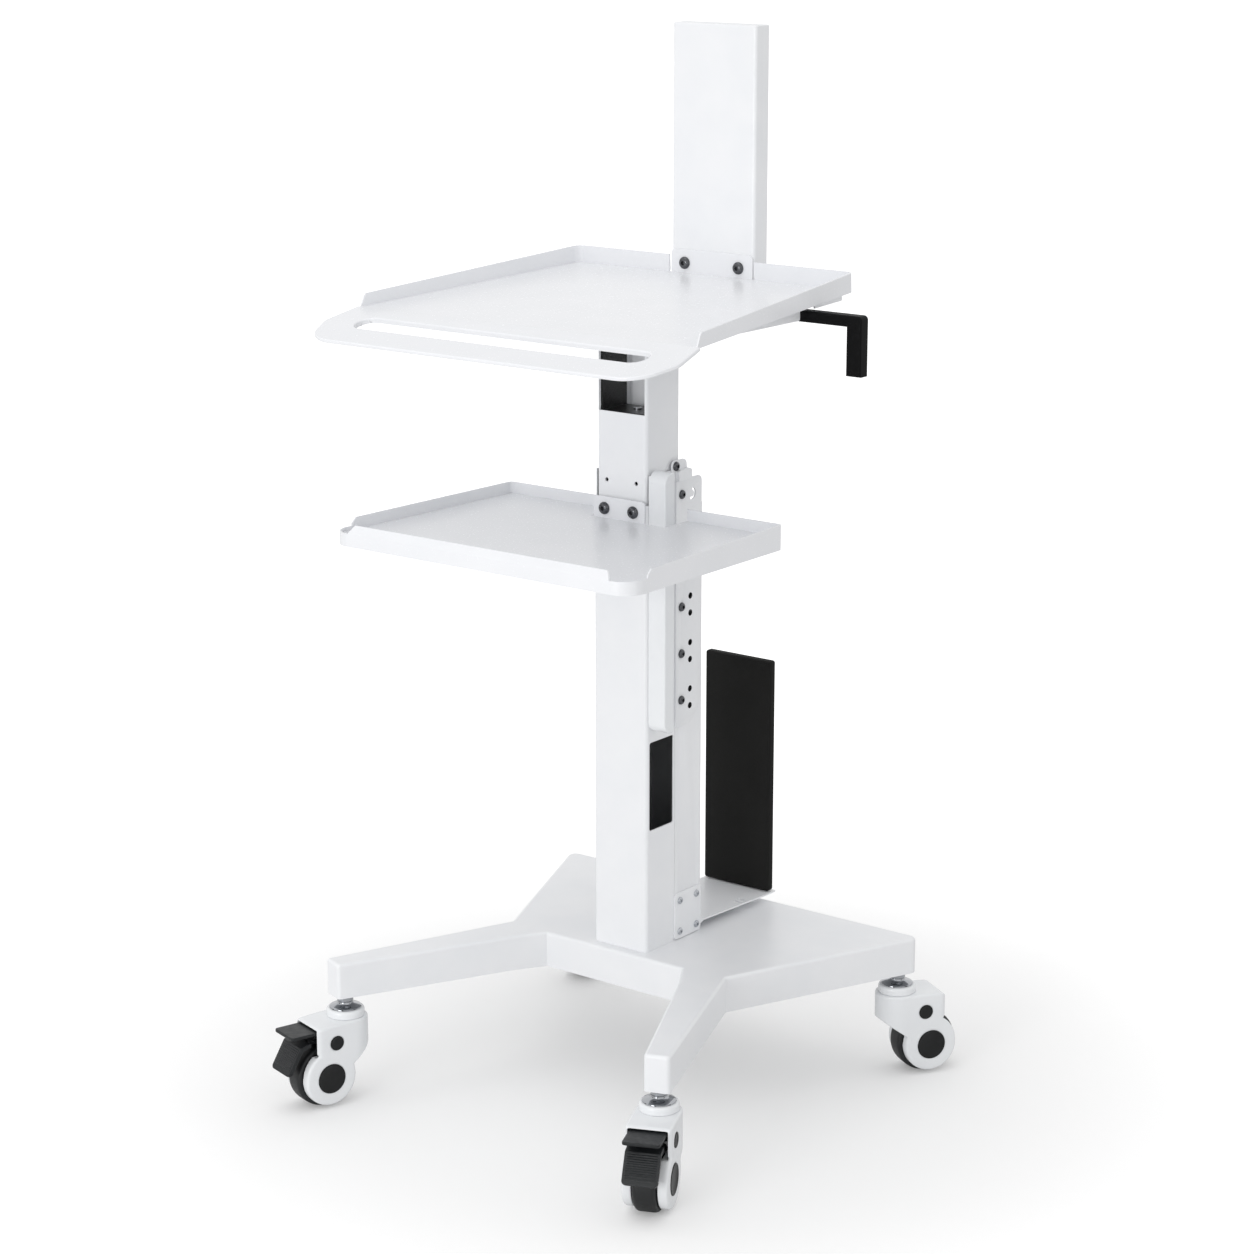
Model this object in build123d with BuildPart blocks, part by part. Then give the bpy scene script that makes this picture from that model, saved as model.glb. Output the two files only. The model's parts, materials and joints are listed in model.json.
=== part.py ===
from build123d import *
from math import cos, hypot, radians, sin, tan
import os

os.makedirs("parts", exist_ok=True)

# Equipment trolley with a rising mast, two trays, a rear post and four casters.
# Millimetres, +Z up, the front (handle side) faces -Y, the right side faces +X.
# The origin lies on the floor, under the middle of the lower column.

# Clearances shared by mating pieces
joint_gap = 0.05
hole_gap = 0.1
plate_gap = 0.3
slide_gap = 0.3
running_gap = 0.08
axial_gap = 0.4

# Fasteners: head radius, head height, shank radius, key radius
m8_screw = (7.2, 4.6, 4.0, 2.6)
m6_screw = (5.3, 3.4, 3.0, 2.1)
m5_screw = (4.3, 2.6, 2.5, 1.5)
key_depth = 0.55

# Base
base_underside_z = 127.0
base_height = 43.0
base_wall = 3.0
base_rear_half = 267.0
base_rear_y = 189.0
waist_half = 159.0
waist_y = -62.0
leg_outer_x = 251.0
leg_outer_y = -294.0
leg_inner_x = 223.0
leg_inner_y = -304.0
facet_x = 122.0
facet_y = -103.0
crotch_half = 100.0
crotch_y = -69.0
base_corner_radius = 10.0
base_leg_radius = 5.0
base_waist_radius = 6.0
base_edge_radius = 4.0
bottom_plate_thickness = 2.5
socket_radius = 14.0
foot_plate_thickness = 10.0
foot_bolt_radius = 4.0
foot_bolt_x = 24.0
foot_bolt_y = 38.0
foot_bolt_head_radius = 6.5
foot_bolt_head_height = 5.0
base_top_z = base_underside_z + base_height

# Casters; t runs along the trail from the swivel axis, n across it
wheel_diameter = 75.0
tyre_width = 26.0
tyre_thickness = 7.0
tyre_shoulder = 4.0
core_rim = 3.5
core_web = 8.0
core_hub_radius = 9.0
caster_trail = 35.0
caster_width = 52.0
cheek_radius = 34.5
cheek_edge_radius = 3.0
cheek_edge_mid = 0.8
wheel_room = 2.0
wheel_side_room = 1.6
caster_top_z = 102.5
caster_top_fall = 1.5
deck_edge_radius = 2.5
caster_front = 55.0
caster_front_radius = 9.0
caster_front_bottom_z = 72.0
brow_run = 6.5
brow_step = 3.0
brow_fall = 2.0
brow_drop = 7.0
chin_run = 8.0
chin_rise = 5.0
cut_over = 1.0
caster_back_bottom_z = 71.5
caster_heel_t = 3.0
caster_heel_z = 50.5
stem_collar_radius = 9.5
stem_collar_height = 9.0
stem_thread_radius = 6.0
stem_thread_length = 26.0
spindle_radius = 8.0
spindle_depth = 18.0
ring_radius = 22.5
ring_height = 9.4
ring_lip = 3.0
ring_bevel = 1.8
race_radius = 18.0
race_height = 5.5
cone_radius = 19.0
axle_radius = 4.0
hub_cap_radius = 18.5
pin_cap_radius = 9.0
cap_recess = 1.2
cap_stand = 0.6
pocket_half = 22.5
pocket_back_t = 15.0
pocket_bottom_z = 66.0
pocket_top_z = 98.8
lock_pin_t = 27.0
lock_pin_z = 80.0
lock_pin_radius = 2.5
lock_hub_radius = 4.3
lock_path = ((lock_pin_t, lock_pin_z), (60.0, 82.0), (70.5, 79.5), (88.0, 49.0))
lock_thickness = 5.0
lock_half = 20.0
lock_arm_half = 9.0
lock_shoulder_t = 58.5
lock_toe_radius = 5.0
lock_rib_count = 11
lock_rib_height = 0.7
lock_rib_width = 1.3
lock_rib_inset = 3.0
release_pin_t = 46.0
release_pin_z = 93.6
release_pin_radius = 2.0
release_hub_radius = 3.5
release_bottom_z = 93.0
release_thickness = 3.8
release_toe_t = 84.0
release_half = 21.0
trunnion_end = 24.4
front_caster_x = 230.0
front_caster_y = -285.0
rear_caster_x = 243.0
rear_caster_y = 173.0
caster_headings = {"front_left": 253.0, "front_right": 293.0, "rear_left": 112.0, "rear_right": 58.0}
caster_places = {
    "front_left": (-front_caster_x, front_caster_y),
    "front_right": (front_caster_x, front_caster_y),
    "rear_left": (-rear_caster_x, rear_caster_y),
    "rear_right": (rear_caster_x, rear_caster_y),
}

# Lower column, made of a front and a rear channel
column_half = 38.5
column_depth = 110.0
column_wall = 1.6
column_radius = 5.0
column_seam = 0.4
column_front_top_z = 707.0
column_cheek_top_z = 741.0
column_cheek_step = 5.6
column_cheek_rear_y = 22.0
column_rear_top_z = 694.0
cable_window_bottom_z = 319.0
cable_window_top_z = 426.0
cable_window_front_y = -49.0
cable_window_rear_y = -3.0
cable_window_radius = 3.0
column_inner_half = column_half - column_wall
column_inner_depth = column_depth - 2 * column_wall
column_inner_radius = column_radius - column_wall

# Mast that slides in the lower column
guide_wall = 1.0
guide_bottom_z = 636.0
guide_top_z = 690.0
mast_half = column_inner_half - hole_gap - guide_wall - slide_gap
mast_front_y = -(column_inner_depth / 2 - hole_gap - guide_wall - slide_gap)
mast_depth = 64.0
mast_wall = 2.0
mast_radius = 5.0
mast_bottom_z = 458.0
mast_mid_y = mast_front_y + mast_depth / 2
shoe_height = 60.0
shoe_lip = 8.0
shoe_pocket_front_y = 22.0
shoe_pocket_depth = 24.0
shoe_pocket_half = 28.0
mast_window_half = 32.5
mast_window_bottom_z = 810.0
mast_window_top_z = 905.0
stop_hole_x = 21.0
stop_hole_z = 730.5
stop_hole_radius = 2.4

# Gas spring and its bracket inside the mast
spring_radius = 14.0
spring_wall = 3.0
spring_y = -21.0
spring_bottom_z = 205.0
spring_top_z = 655.0
spring_stud_radius = 5.0
rod_radius = 5.0
rod_bottom_z = 470.0
piston_height = 12.0
rod_collar_radius = 8.0
rod_collar_height = 7.0
bracket_sheet = 3.0
bracket_z = 807.0
bracket_half = mast_half - mast_wall - plate_gap
bracket_top_z = 925.0
bracket_low_wall = 22.0
bracket_rear_y = -2.0
rod_stand = 1.5

# Upper tray, in a plane that falls towards the front
tray_rear_y = 122.0
tray_floor_z = 947.3
tray_slope = 2.7
tray_length = 352.0
tray_rear_half = 198.0
tray_front_half = 235.0
sheet = 2.0
tray_flange = 20.0
tray_flange_front = 13.8
tray_corner_radius = 12.0
flange_nose = 7.0
flange_tip = 3.0
handle_bend = 10.3
handle_depth = 97.0
handle_lap = 1.0
handle_overhang = 3.0
handle_flare = 8.0
handle_shoulder = 46.0
handle_taper = 20.0
handle_thickness = 4.5
handle_radius = 42.0
handle_shoulder_radius = 20.0
handle_edge_radius = 1.6
slot_rear = 25.0
slot_width = 32.0
slot_half = 201.0
tab_half = 58.0
tab_top_z = 974.5
tab_gap = 2.5
tab_radius = 6.0
tab_relief_radius = 1.9
post_bolt_x = 38.4
post_bolt_z = 958.5

# Pan under the upper tray
pan_half = 190.0
pan_front_y = -150.0
pan_rear_y = 117.0
pan_skirt_z = 923.0
pan_skirt_rear_y = 22.0
pan_lip = 9.0
pan_radius = 12.0
lever_gap_front_y = 25.0
lever_gap_rear_y = 54.0

# Rear post
post_half = 59.0
post_depth = 28.0
post_bottom_z = 926.0
post_top_z = 1235.0
post_wall = 2.0
post_edge_radius = 4.0

# Release lever
lever_mid_y = 39.5
lever_depth = 15.0
lever_top_z = 933.5
lever_height = 12.8
lever_outer_x = 266.0
lever_leg_width = 19.5
lever_leg_bottom_z = 866.0
lever_inner_x = 48.0
lever_corner_radius = 5.0
lever_edge = 1.2
lever_pin_x = 150.0
lever_pin_z = 928.0
lever_pin_radius = 2.5
lever_pin_head_radius = 4.5
lever_pin_head = 1.5
ear_sheet = 3.0
ear_width = 20.0

# Lower tray
shelf_floor_z = 686.6
shelf_rear_y = -12.0
shelf_front_y = -313.0
shelf_rear_half = 196.0
shelf_front_half = 211.0
shelf_rim_z = 700.0
shelf_front_rim_z = 691.0
shelf_skirt_front_z = 676.0
shelf_skirt_rear_z = 671.0
shelf_front_radius = 25.0
shelf_rear_radius = 6.0
shelf_step_y = -279.0
shelf_step_drop = 6.0
shelf_step_run = 7.0
strip_half = 184.0
strip_lean = 5.5
strip_nose = 8.0
notch_left_x = -41.0
notch_right_x = 65.0
shelf_tab_half = 36.5
shelf_tab_top_z = 711.5
shelf_tab_radius = 4.0
shelf_bolt_x = 20.5
shelf_bolt_z = 698.0

# Accessory plates on the sides of the column
side_sheet = 2.0
side_front_y = -1.5
side_rear_y = 48.0
side_top_z = 728.0
side_bottom_z = 434.0
side_tail_y = 24.0
side_tail_z = 456.0
side_radius = 7.0
side_bolt_y = 9.0
side_bolt_z = (465.5, 521.5, 577.5)
side_hole_y = 26.5
side_hole_rise = 10.2
side_hole_radius = 2.1
pivot_z = 710.5

# Cable cover on the right side of the column
cover_width = 23.8
cover_front_y = -52.0
cover_rear_y = -34.0
cover_top_z = 746.0
cover_bottom_z = 440.0
cover_nose_radius = 13.0
cover_heel_radius = 3.0
cover_wall = 1.5
cover_gap = 0.2
cover_boss_radius = 4.0
cover_boss_z = (490.0, 700.0)

# Clamp block over the right accessory plate
block_width = 8.0
block_front_y = -4.0
block_rear_y = 21.0
block_top_z = 741.0
block_bevel_fall = 2.0
block_bevel_run = 3.0
lug_sheet = 2.5
lug_front_y = -10.0
lug_rear_y = 18.0
lug_top_z = 752.0
lug_radius = 7.0
clamp_bolt_y = -3.5
clamp_bolt_z = 745.5

# Host shelf and its pad
host_z = 182.0
host_sheet = 2.0
host_root_y = 57.0
host_flare_y = 178.0
host_flare_half = 50.0
host_rear_y = 194.0
host_plate_front_y = -0.5
host_plate_bottom_z = 171.0
host_plate_top_z = 228.0
host_plate_rear_y = 50.5
host_plate_radius = 4.0
host_screw_y = (8.7, 41.4)
host_screw_z = (180.0, 218.5)
host_slot_x = 38.0
host_slot_y = 132.0
host_slot_length = 13.0
host_slot_width = 4.6
host_slot_pitch = 9.0
host_upright_half = 34.0
host_upright_top_z = 430.0
pad_half = 48.5
pad_thickness = 12.0
pad_bottom_z = 183.0
pad_top_z = 476.0
pad_radius = 12.0
pad_edge_radius = 3.0


def save(part, name):
    """Labels one piece and writes it."""
    part.part.label = name
    export_step(part.part, f"parts/{name}.step")


def facing(x, y, z, direction):
    """A plane at a point whose normal is one of the axis directions."""
    normals = {"front": (0, -1, 0), "right": (1, 0, 0), "left": (-1, 0, 0)}
    x_dir = (1, 0, 0) if direction == "front" else (0, 1, 0)
    return Plane(origin=(x, y, z), x_dir=x_dir, z_dir=normals[direction])


def beside(place):
    """The plane for a turned profile: x is the radius and y runs along the normal of place."""
    return Plane(origin=place.origin, x_dir=place.x_dir, z_dir=-place.y_dir)


def button_screws(places, screw, shank_length):
    """Button-head screws, each with its seat on a plane whose normal points out of the head."""
    head_radius, head_height, shank_radius, key_radius = screw
    with BuildPart() as screws:
        for place in places:
            with BuildSketch(beside(place)):
                Polygon(
                    (0, -shank_length), (shank_radius, -shank_length), (shank_radius, 0), (head_radius, 0),
                    (head_radius, head_height * 0.3), (head_radius * 0.9, head_height * 0.6),
                    (head_radius * 0.7, head_height * 0.85), (head_radius * 0.45, head_height),
                    (0, head_height), align=None)
            revolve(axis=Axis(place.origin, place.z_dir))
            with BuildSketch(place.offset(head_height)):
                RegularPolygon(key_radius, 6)
            extrude(amount=-head_height * key_depth, mode=Mode.SUBTRACT)
    return screws


def band(path, thickness):
    """The corners of a bent strip of even thickness along a path of points."""
    left, right = [], []
    for i, (x, y) in enumerate(path):
        ahead = path[min(i + 1, len(path) - 1)]
        behind = path[max(i - 1, 0)]
        units = []
        for (x0, y0), (x1, y1) in ((behind, (x, y)), ((x, y), ahead)):
            length = hypot(x1 - x0, y1 - y0)
            if length > 0:
                units.append(((x1 - x0) / length, (y1 - y0) / length))
        nx = -(units[0][1] + units[-1][1])
        ny = units[0][0] + units[-1][0]
        length = hypot(nx, ny)
        nx, ny = nx / length, ny / length
        reach = thickness / 2 / (ny * units[0][0] - nx * units[0][1])
        left.append((x + nx * reach, y + ny * reach))
        right.append((x - nx * reach, y - ny * reach))
    return left + right[::-1]


# Base frame: a pan with two legs, open below, with four caster sockets inside
base_right = [(base_rear_half, base_rear_y), (waist_half, waist_y), (leg_outer_x, leg_outer_y),
              (leg_inner_x, leg_inner_y), (facet_x, facet_y), (crotch_half, crotch_y)]
base_points = base_right + [(-x, y) for x, y in reversed(base_right)]


def base_outline():
    """The base's plan with its rounded corners."""
    Polygon(*base_points, align=None)
    fillet(vertices().filter_by(lambda v: v.Y > base_rear_y - 1), base_corner_radius)
    fillet(vertices().filter_by(lambda v: abs(v.Y - waist_y) < 1), base_waist_radius)
    fillet(vertices().filter_by(lambda v: v.Y < leg_outer_y + 1), base_leg_radius)


def stem_holes(radius):
    """Circles at the four caster stems."""
    for place in caster_places.values():
        with Locations(place):
            Circle(radius)


with BuildPart() as base_frame:
    with BuildSketch(Plane.XY.offset(base_underside_z)):
        base_outline()
    extrude(amount=base_height)
    fillet(faces().sort_by(Axis.Z)[-1].edges(), base_edge_radius)
    with BuildSketch(Plane.XY.offset(base_underside_z)):
        base_outline()
        offset(amount=-base_wall)
    extrude(amount=base_height - base_wall, mode=Mode.SUBTRACT)
    with BuildSketch(Plane.XY.offset(base_underside_z + bottom_plate_thickness)):
        stem_holes(socket_radius)
    extrude(amount=base_height - base_wall / 2 - bottom_plate_thickness)
    with BuildSketch(Plane.XY.offset(base_underside_z)):
        stem_holes(stem_thread_radius + hole_gap)
    extrude(amount=bottom_plate_thickness + stem_thread_length, mode=Mode.SUBTRACT)
    with BuildSketch(Plane.XY.offset(base_top_z - base_wall)):
        with GridLocations(foot_bolt_x * 2, foot_bolt_y * 2, 2, 2):
            Circle(foot_bolt_radius + hole_gap)
    extrude(amount=base_wall, mode=Mode.SUBTRACT)
save(base_frame, "base_frame")

with BuildPart() as bottom_plate:
    with BuildSketch(Plane.XY.offset(base_underside_z)):
        base_outline()
        offset(amount=-(base_wall + hole_gap))
    extrude(amount=bottom_plate_thickness - joint_gap)
    with BuildSketch(Plane.XY.offset(base_underside_z)):
        stem_holes(stem_thread_radius + hole_gap)
    extrude(amount=bottom_plate_thickness, mode=Mode.SUBTRACT)
save(bottom_plate, "base_bottom_plate")

# Foot plate inside the column, bolted through the top of the base
with BuildPart() as foot_plate:
    with BuildSketch(Plane.XY.offset(base_top_z)):
        RectangleRounded(2 * (column_inner_half - hole_gap), column_inner_depth - 2 * hole_gap,
                         column_inner_radius)
        with GridLocations(foot_bolt_x * 2, foot_bolt_y * 2, 2, 2):
            Circle(foot_bolt_radius + hole_gap, mode=Mode.SUBTRACT)
        with Locations((0, spring_y)):
            Circle(spring_stud_radius + hole_gap, mode=Mode.SUBTRACT)
    extrude(amount=foot_plate_thickness)
save(foot_plate, "column_foot_plate")

with BuildPart() as foot_bolts:
    with BuildSketch(Plane.XY.offset(base_top_z - base_wall)):
        with GridLocations(foot_bolt_x * 2, foot_bolt_y * 2, 2, 2):
            RegularPolygon(foot_bolt_head_radius, 6)
    extrude(amount=-foot_bolt_head_height)
    with BuildSketch(Plane.XY.offset(base_top_z - base_wall)):
        with GridLocations(foot_bolt_x * 2, foot_bolt_y * 2, 2, 2):
            Circle(foot_bolt_radius)
    extrude(amount=base_wall + foot_plate_thickness)
save(foot_bolts, "column_foot_bolts")


# Lower column
def column_channel(side):
    """Half of the column's wall: side is -1 for the front channel and 1 for the rear one."""
    RectangleRounded(2 * column_half, column_depth, column_radius)
    RectangleRounded(2 * column_inner_half, column_inner_depth, column_inner_radius, mode=Mode.SUBTRACT)
    with Locations((0, side * (column_depth + column_seam) / 2)):
        Rectangle(3 * column_half, column_depth, mode=Mode.INTERSECT)


column_height = column_cheek_top_z - base_top_z
with BuildPart() as column_front:
    with BuildSketch(Plane.XY.offset(base_top_z)):
        column_channel(-1)
    extrude(amount=column_height)
    with BuildSketch(Plane.XY.offset(column_front_top_z)):
        with Locations((0, -column_depth / 2)):
            Rectangle(3 * column_half, 2 * column_cheek_step)
    extrude(amount=column_height, mode=Mode.SUBTRACT)
    with BuildSketch(Plane.YZ.offset(column_half)):
        with Locations(((cable_window_front_y + cable_window_rear_y) / 2,
                        (cable_window_bottom_z + cable_window_top_z) / 2)):
            RectangleRounded(cable_window_rear_y - cable_window_front_y,
                             cable_window_top_z - cable_window_bottom_z, cable_window_radius)
    extrude(amount=-column_wall, mode=Mode.SUBTRACT)
    with BuildSketch(Plane.XZ.offset(column_depth / 2)):
        with Locations((-shelf_bolt_x, shelf_bolt_z), (shelf_bolt_x, shelf_bolt_z)):
            Circle(m8_screw[2] + hole_gap)
    extrude(amount=-column_wall, mode=Mode.SUBTRACT)
save(column_front, "column_front")

host_screw_points = [(y, z) for y in host_screw_y for z in host_screw_z]
side_screw_points = [(side_bolt_y, z) for z in side_bolt_z + (pivot_z,)]
side_hole_points = [(side_hole_y, z + rise * side_hole_rise) for z in side_bolt_z for rise in (-1, 1)]
with BuildPart() as column_rear:
    with BuildSketch(Plane.XY.offset(base_top_z)):
        column_channel(1)
    extrude(amount=column_height)
    with BuildSketch(Plane.XY.offset(column_rear_top_z)):
        with Locations((0, column_cheek_rear_y + column_depth / 2)):
            Rectangle(3 * column_half, column_depth)
    extrude(amount=column_height, mode=Mode.SUBTRACT)
    with BuildSketch(Plane.YZ.offset(-column_half)):
        with Locations(*side_screw_points):
            Circle(m6_screw[2] + hole_gap)
        with Locations(*side_hole_points):
            Circle(side_hole_radius)
        with Locations(*host_screw_points):
            Circle(m5_screw[2] + hole_gap)
    extrude(amount=2 * column_half, mode=Mode.SUBTRACT)
save(column_rear, "column_rear")

# Guide collar at the column's top and slide shoe at the mast's foot
with BuildPart() as guide_collar:
    with BuildSketch(Plane.XY.offset(guide_bottom_z)):
        RectangleRounded(2 * (column_inner_half - hole_gap), column_inner_depth - 2 * hole_gap,
                         column_inner_radius)
        with Locations((0, mast_mid_y)):
            RectangleRounded(2 * (mast_half + slide_gap), mast_depth + 2 * slide_gap, mast_radius + slide_gap,
                             mode=Mode.SUBTRACT)
        with Locations((0, shoe_pocket_front_y + shoe_pocket_depth / 2)):
            Rectangle(2 * shoe_pocket_half, shoe_pocket_depth, mode=Mode.SUBTRACT)
    extrude(amount=guide_top_z - guide_bottom_z)
save(guide_collar, "guide_collar")

with BuildPart() as slide_shoe:
    with BuildSketch(Plane.XY.offset(mast_bottom_z - shoe_lip)):
        RectangleRounded(2 * (column_inner_half - slide_gap), column_inner_depth - 2 * slide_gap,
                         column_inner_radius)
        with Locations((0, mast_mid_y)):
            RectangleRounded(2 * (mast_half - mast_wall), mast_depth - 2 * mast_wall, mast_radius - mast_wall,
                             mode=Mode.SUBTRACT)
        with Locations((0, shoe_pocket_front_y + shoe_pocket_depth / 2)):
            Rectangle(2 * shoe_pocket_half, shoe_pocket_depth, mode=Mode.SUBTRACT)
    extrude(amount=shoe_height)
    with BuildSketch(Plane.XY.offset(mast_bottom_z)):
        with Locations((0, mast_mid_y)):
            RectangleRounded(2 * (mast_half + hole_gap), mast_depth + 2 * hole_gap, mast_radius + hole_gap)
    extrude(amount=shoe_height, mode=Mode.SUBTRACT)
save(slide_shoe, "slide_shoe")

# Mast, cut at its top to the slope of the tray
slope = radians(tray_slope)
underside_fall = sheet / cos(slope)


def underside(y, layers):
    """Height, at depth y, under a number of sheets below the tray's floor."""
    return tray_floor_z - (tray_rear_y - y) * tan(slope) - layers * underside_fall - (layers - 1) * joint_gap


mast_top_z = underside(tray_rear_y, 2) - joint_gap
with BuildPart() as inner_column:
    with BuildSketch(Plane.XY.offset(mast_bottom_z)):
        with Locations((0, mast_mid_y)):
            RectangleRounded(2 * mast_half, mast_depth, mast_radius)
            RectangleRounded(2 * (mast_half - mast_wall), mast_depth - 2 * mast_wall, mast_radius - mast_wall,
                             mode=Mode.SUBTRACT)
    extrude(amount=mast_top_z - mast_bottom_z)
    with BuildSketch(Plane.YZ):
        Polygon((-mast_depth, underside(-mast_depth, 2) - joint_gap),
                (mast_depth, underside(mast_depth, 2) - joint_gap),
                (mast_depth, mast_top_z + 1), (-mast_depth, mast_top_z + 1), align=None)
    extrude(amount=2 * mast_half, both=True, mode=Mode.SUBTRACT)
    with BuildSketch(Plane.XZ.offset(-mast_front_y)):
        with Locations((0, (mast_window_bottom_z + mast_window_top_z) / 2)):
            Rectangle(2 * mast_window_half, mast_window_top_z - mast_window_bottom_z)
        with Locations((-stop_hole_x, stop_hole_z), (stop_hole_x, stop_hole_z)):
            Circle(stop_hole_radius)
    extrude(amount=-mast_wall * 1.2, mode=Mode.SUBTRACT)
save(inner_column, "inner_column")

# Gas spring: cylinder on the foot plate, rod up to the bracket in the mast
spring_foot = Plane(origin=(0, spring_y, 0), x_dir=(1, 0, 0), z_dir=(0, 0, 1))
spring_axis = Axis((0, spring_y, 0), (0, 0, 1))
spring_bore = spring_radius - spring_wall
with BuildPart() as gas_cylinder:
    with BuildSketch(beside(spring_foot)):
        Polygon(
            (0, base_top_z + joint_gap), (spring_stud_radius, base_top_z + joint_gap),
            (spring_stud_radius, spring_bottom_z), (spring_radius, spring_bottom_z),
            (spring_radius, spring_top_z), (rod_radius + running_gap, spring_top_z),
            (rod_radius + running_gap, spring_top_z - 2 * spring_wall),
            (spring_bore, spring_top_z - 2 * spring_wall), (spring_bore, spring_bottom_z + 2 * spring_wall),
            (0, spring_bottom_z + 2 * spring_wall), align=None)
    revolve(axis=spring_axis)
save(gas_cylinder, "gas_spring_cylinder")

rod_top_z = bracket_z + bracket_sheet + rod_stand
piston_radius = spring_bore - running_gap
with BuildPart() as gas_rod:
    with BuildSketch(beside(spring_foot)):
        Polygon(
            (0, rod_bottom_z), (piston_radius, rod_bottom_z), (piston_radius, rod_bottom_z + piston_height),
            (rod_radius, rod_bottom_z + piston_height), (rod_radius, bracket_z - rod_collar_height),
            (rod_collar_radius, bracket_z - rod_collar_height), (rod_collar_radius, bracket_z - joint_gap),
            (rod_radius, bracket_z - joint_gap), (rod_radius, rod_top_z), (0, rod_top_z), align=None)
    revolve(axis=spring_axis)
save(gas_rod, "gas_spring_rod")

bracket_line = bracket_half - bracket_sheet / 2
bracket_floor = bracket_z + bracket_sheet / 2
with BuildPart() as release_bracket:
    with BuildSketch(Plane.XZ.offset(-mast_front_y - mast_radius)):
        Polygon(*band([(-bracket_line, bracket_top_z), (-bracket_line, bracket_floor),
                       (bracket_line, bracket_floor), (bracket_line, bracket_z + bracket_low_wall)],
                      bracket_sheet), align=None)
    extrude(amount=-(bracket_rear_y - mast_front_y - mast_radius))
    with BuildSketch(Plane.XY.offset(bracket_z)):
        with Locations((0, spring_y)):
            Circle(rod_radius + hole_gap)
    extrude(amount=bracket_sheet, mode=Mode.SUBTRACT)
save(release_bracket, "release_bracket")

# Upper tray with its handle
tray_plane = Plane(origin=(0, tray_rear_y, tray_floor_z), x_dir=(1, 0, 0), z_dir=(0, -sin(slope), cos(slope)))
tray_side = Plane(origin=tray_plane.origin, x_dir=tray_plane.y_dir, z_dir=(1, 0, 0))


def tray_outline(inset):
    """The tray's plan between its side flanges, open at the front when inset."""
    front = tray_length + inset * 2
    grow = (tray_front_half - tray_rear_half) / tray_length * inset * 2
    Polygon((tray_rear_half - inset, -inset), (tray_front_half - inset + grow, -front),
            (-tray_front_half + inset - grow, -front), (-tray_rear_half + inset, -inset), align=None)
    fillet(vertices().group_by(Axis.Y)[-1], tray_corner_radius - inset)


handle_root_half = tray_front_half + handle_overhang
handle_shoulder_half = handle_root_half + handle_flare
handle_front_half = handle_shoulder_half - handle_taper
bend_point = tray_plane.from_local_coords((0, -tray_length, 0))
handle_slope = slope + radians(handle_bend)
handle_plane = Plane(origin=bend_point, x_dir=(1, 0, 0), z_dir=(0, -sin(handle_slope), cos(handle_slope)))
with BuildPart() as upper_tray:
    with BuildSketch(handle_plane.offset(-handle_thickness)):
        Polygon((handle_root_half, handle_lap), (handle_shoulder_half, -handle_shoulder),
                (handle_front_half, -handle_depth), (-handle_front_half, -handle_depth),
                (-handle_shoulder_half, -handle_shoulder), (-handle_root_half, handle_lap), align=None)
        fillet(vertices().group_by(Axis.Y)[0], handle_radius)
        fillet(vertices().filter_by(lambda v: abs(v.Y + handle_shoulder) < 1), handle_shoulder_radius)
        with Locations((0, -slot_rear - slot_width / 2)):
            SlotOverall(2 * slot_half, slot_width, mode=Mode.SUBTRACT)
    extrude(amount=handle_thickness)
    rims = faces().filter_by(lambda f: abs(f.normal_at().Z) > 0.9).edges()
    fillet(rims.filter_by(lambda e: e.center().Y < bend_point.Y - handle_lap), handle_edge_radius)
    with BuildSketch(tray_plane.offset(-sheet)):
        tray_outline(0)
    extrude(amount=sheet + tray_flange)
    with BuildSketch(tray_plane):
        tray_outline(sheet)
    extrude(amount=tray_flange, mode=Mode.SUBTRACT)
    with BuildSketch(tray_side):
        Polygon((-tray_length - sheet * 3, joint_gap), (-tray_length + 1, joint_gap),
                (-tray_length + flange_nose, tray_flange_front * 0.8),
                (-tray_length + flange_nose + flange_tip, tray_flange_front),
                (sheet, tray_flange), (sheet, tray_flange + sheet),
                (-tray_length - sheet * 3, tray_flange + sheet), align=None)
    extrude(amount=2 * tray_front_half, both=True, mode=Mode.SUBTRACT)
    with BuildSketch(tray_plane):
        with Locations((0, -sheet / 2)):
            Rectangle(2 * (tab_half + tab_gap), sheet * 2)
    extrude(amount=tray_flange, mode=Mode.SUBTRACT)
    with BuildSketch(Plane.XZ.offset(-tray_rear_y)):
        with Locations((0, (tray_floor_z - sheet + tab_top_z) / 2)):
            Rectangle(2 * tab_half, tab_top_z - tray_floor_z + sheet)
        fillet(vertices().group_by(Axis.Y)[-1], tab_radius)
    extrude(amount=sheet)
    with BuildSketch(Plane.XZ.offset(-tray_rear_y)):
        with Locations((-post_bolt_x, post_bolt_z), (post_bolt_x, post_bolt_z)):
            Circle(m8_screw[2] + hole_gap)
        for side in (-1, 1):
            with Locations((side * (tab_half + tab_gap / 2), tray_floor_z)):
                Circle(tab_relief_radius)
    extrude(amount=sheet * 1.1, mode=Mode.SUBTRACT)
    with BuildSketch(Plane.XZ.offset(-tray_rear_y)):
        with Locations((0, tray_floor_z)):
            Rectangle(2 * tray_front_half, 4 * tray_flange)
    extrude(amount=-sheet, mode=Mode.SUBTRACT)
save(upper_tray, "upper_tray")

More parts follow.
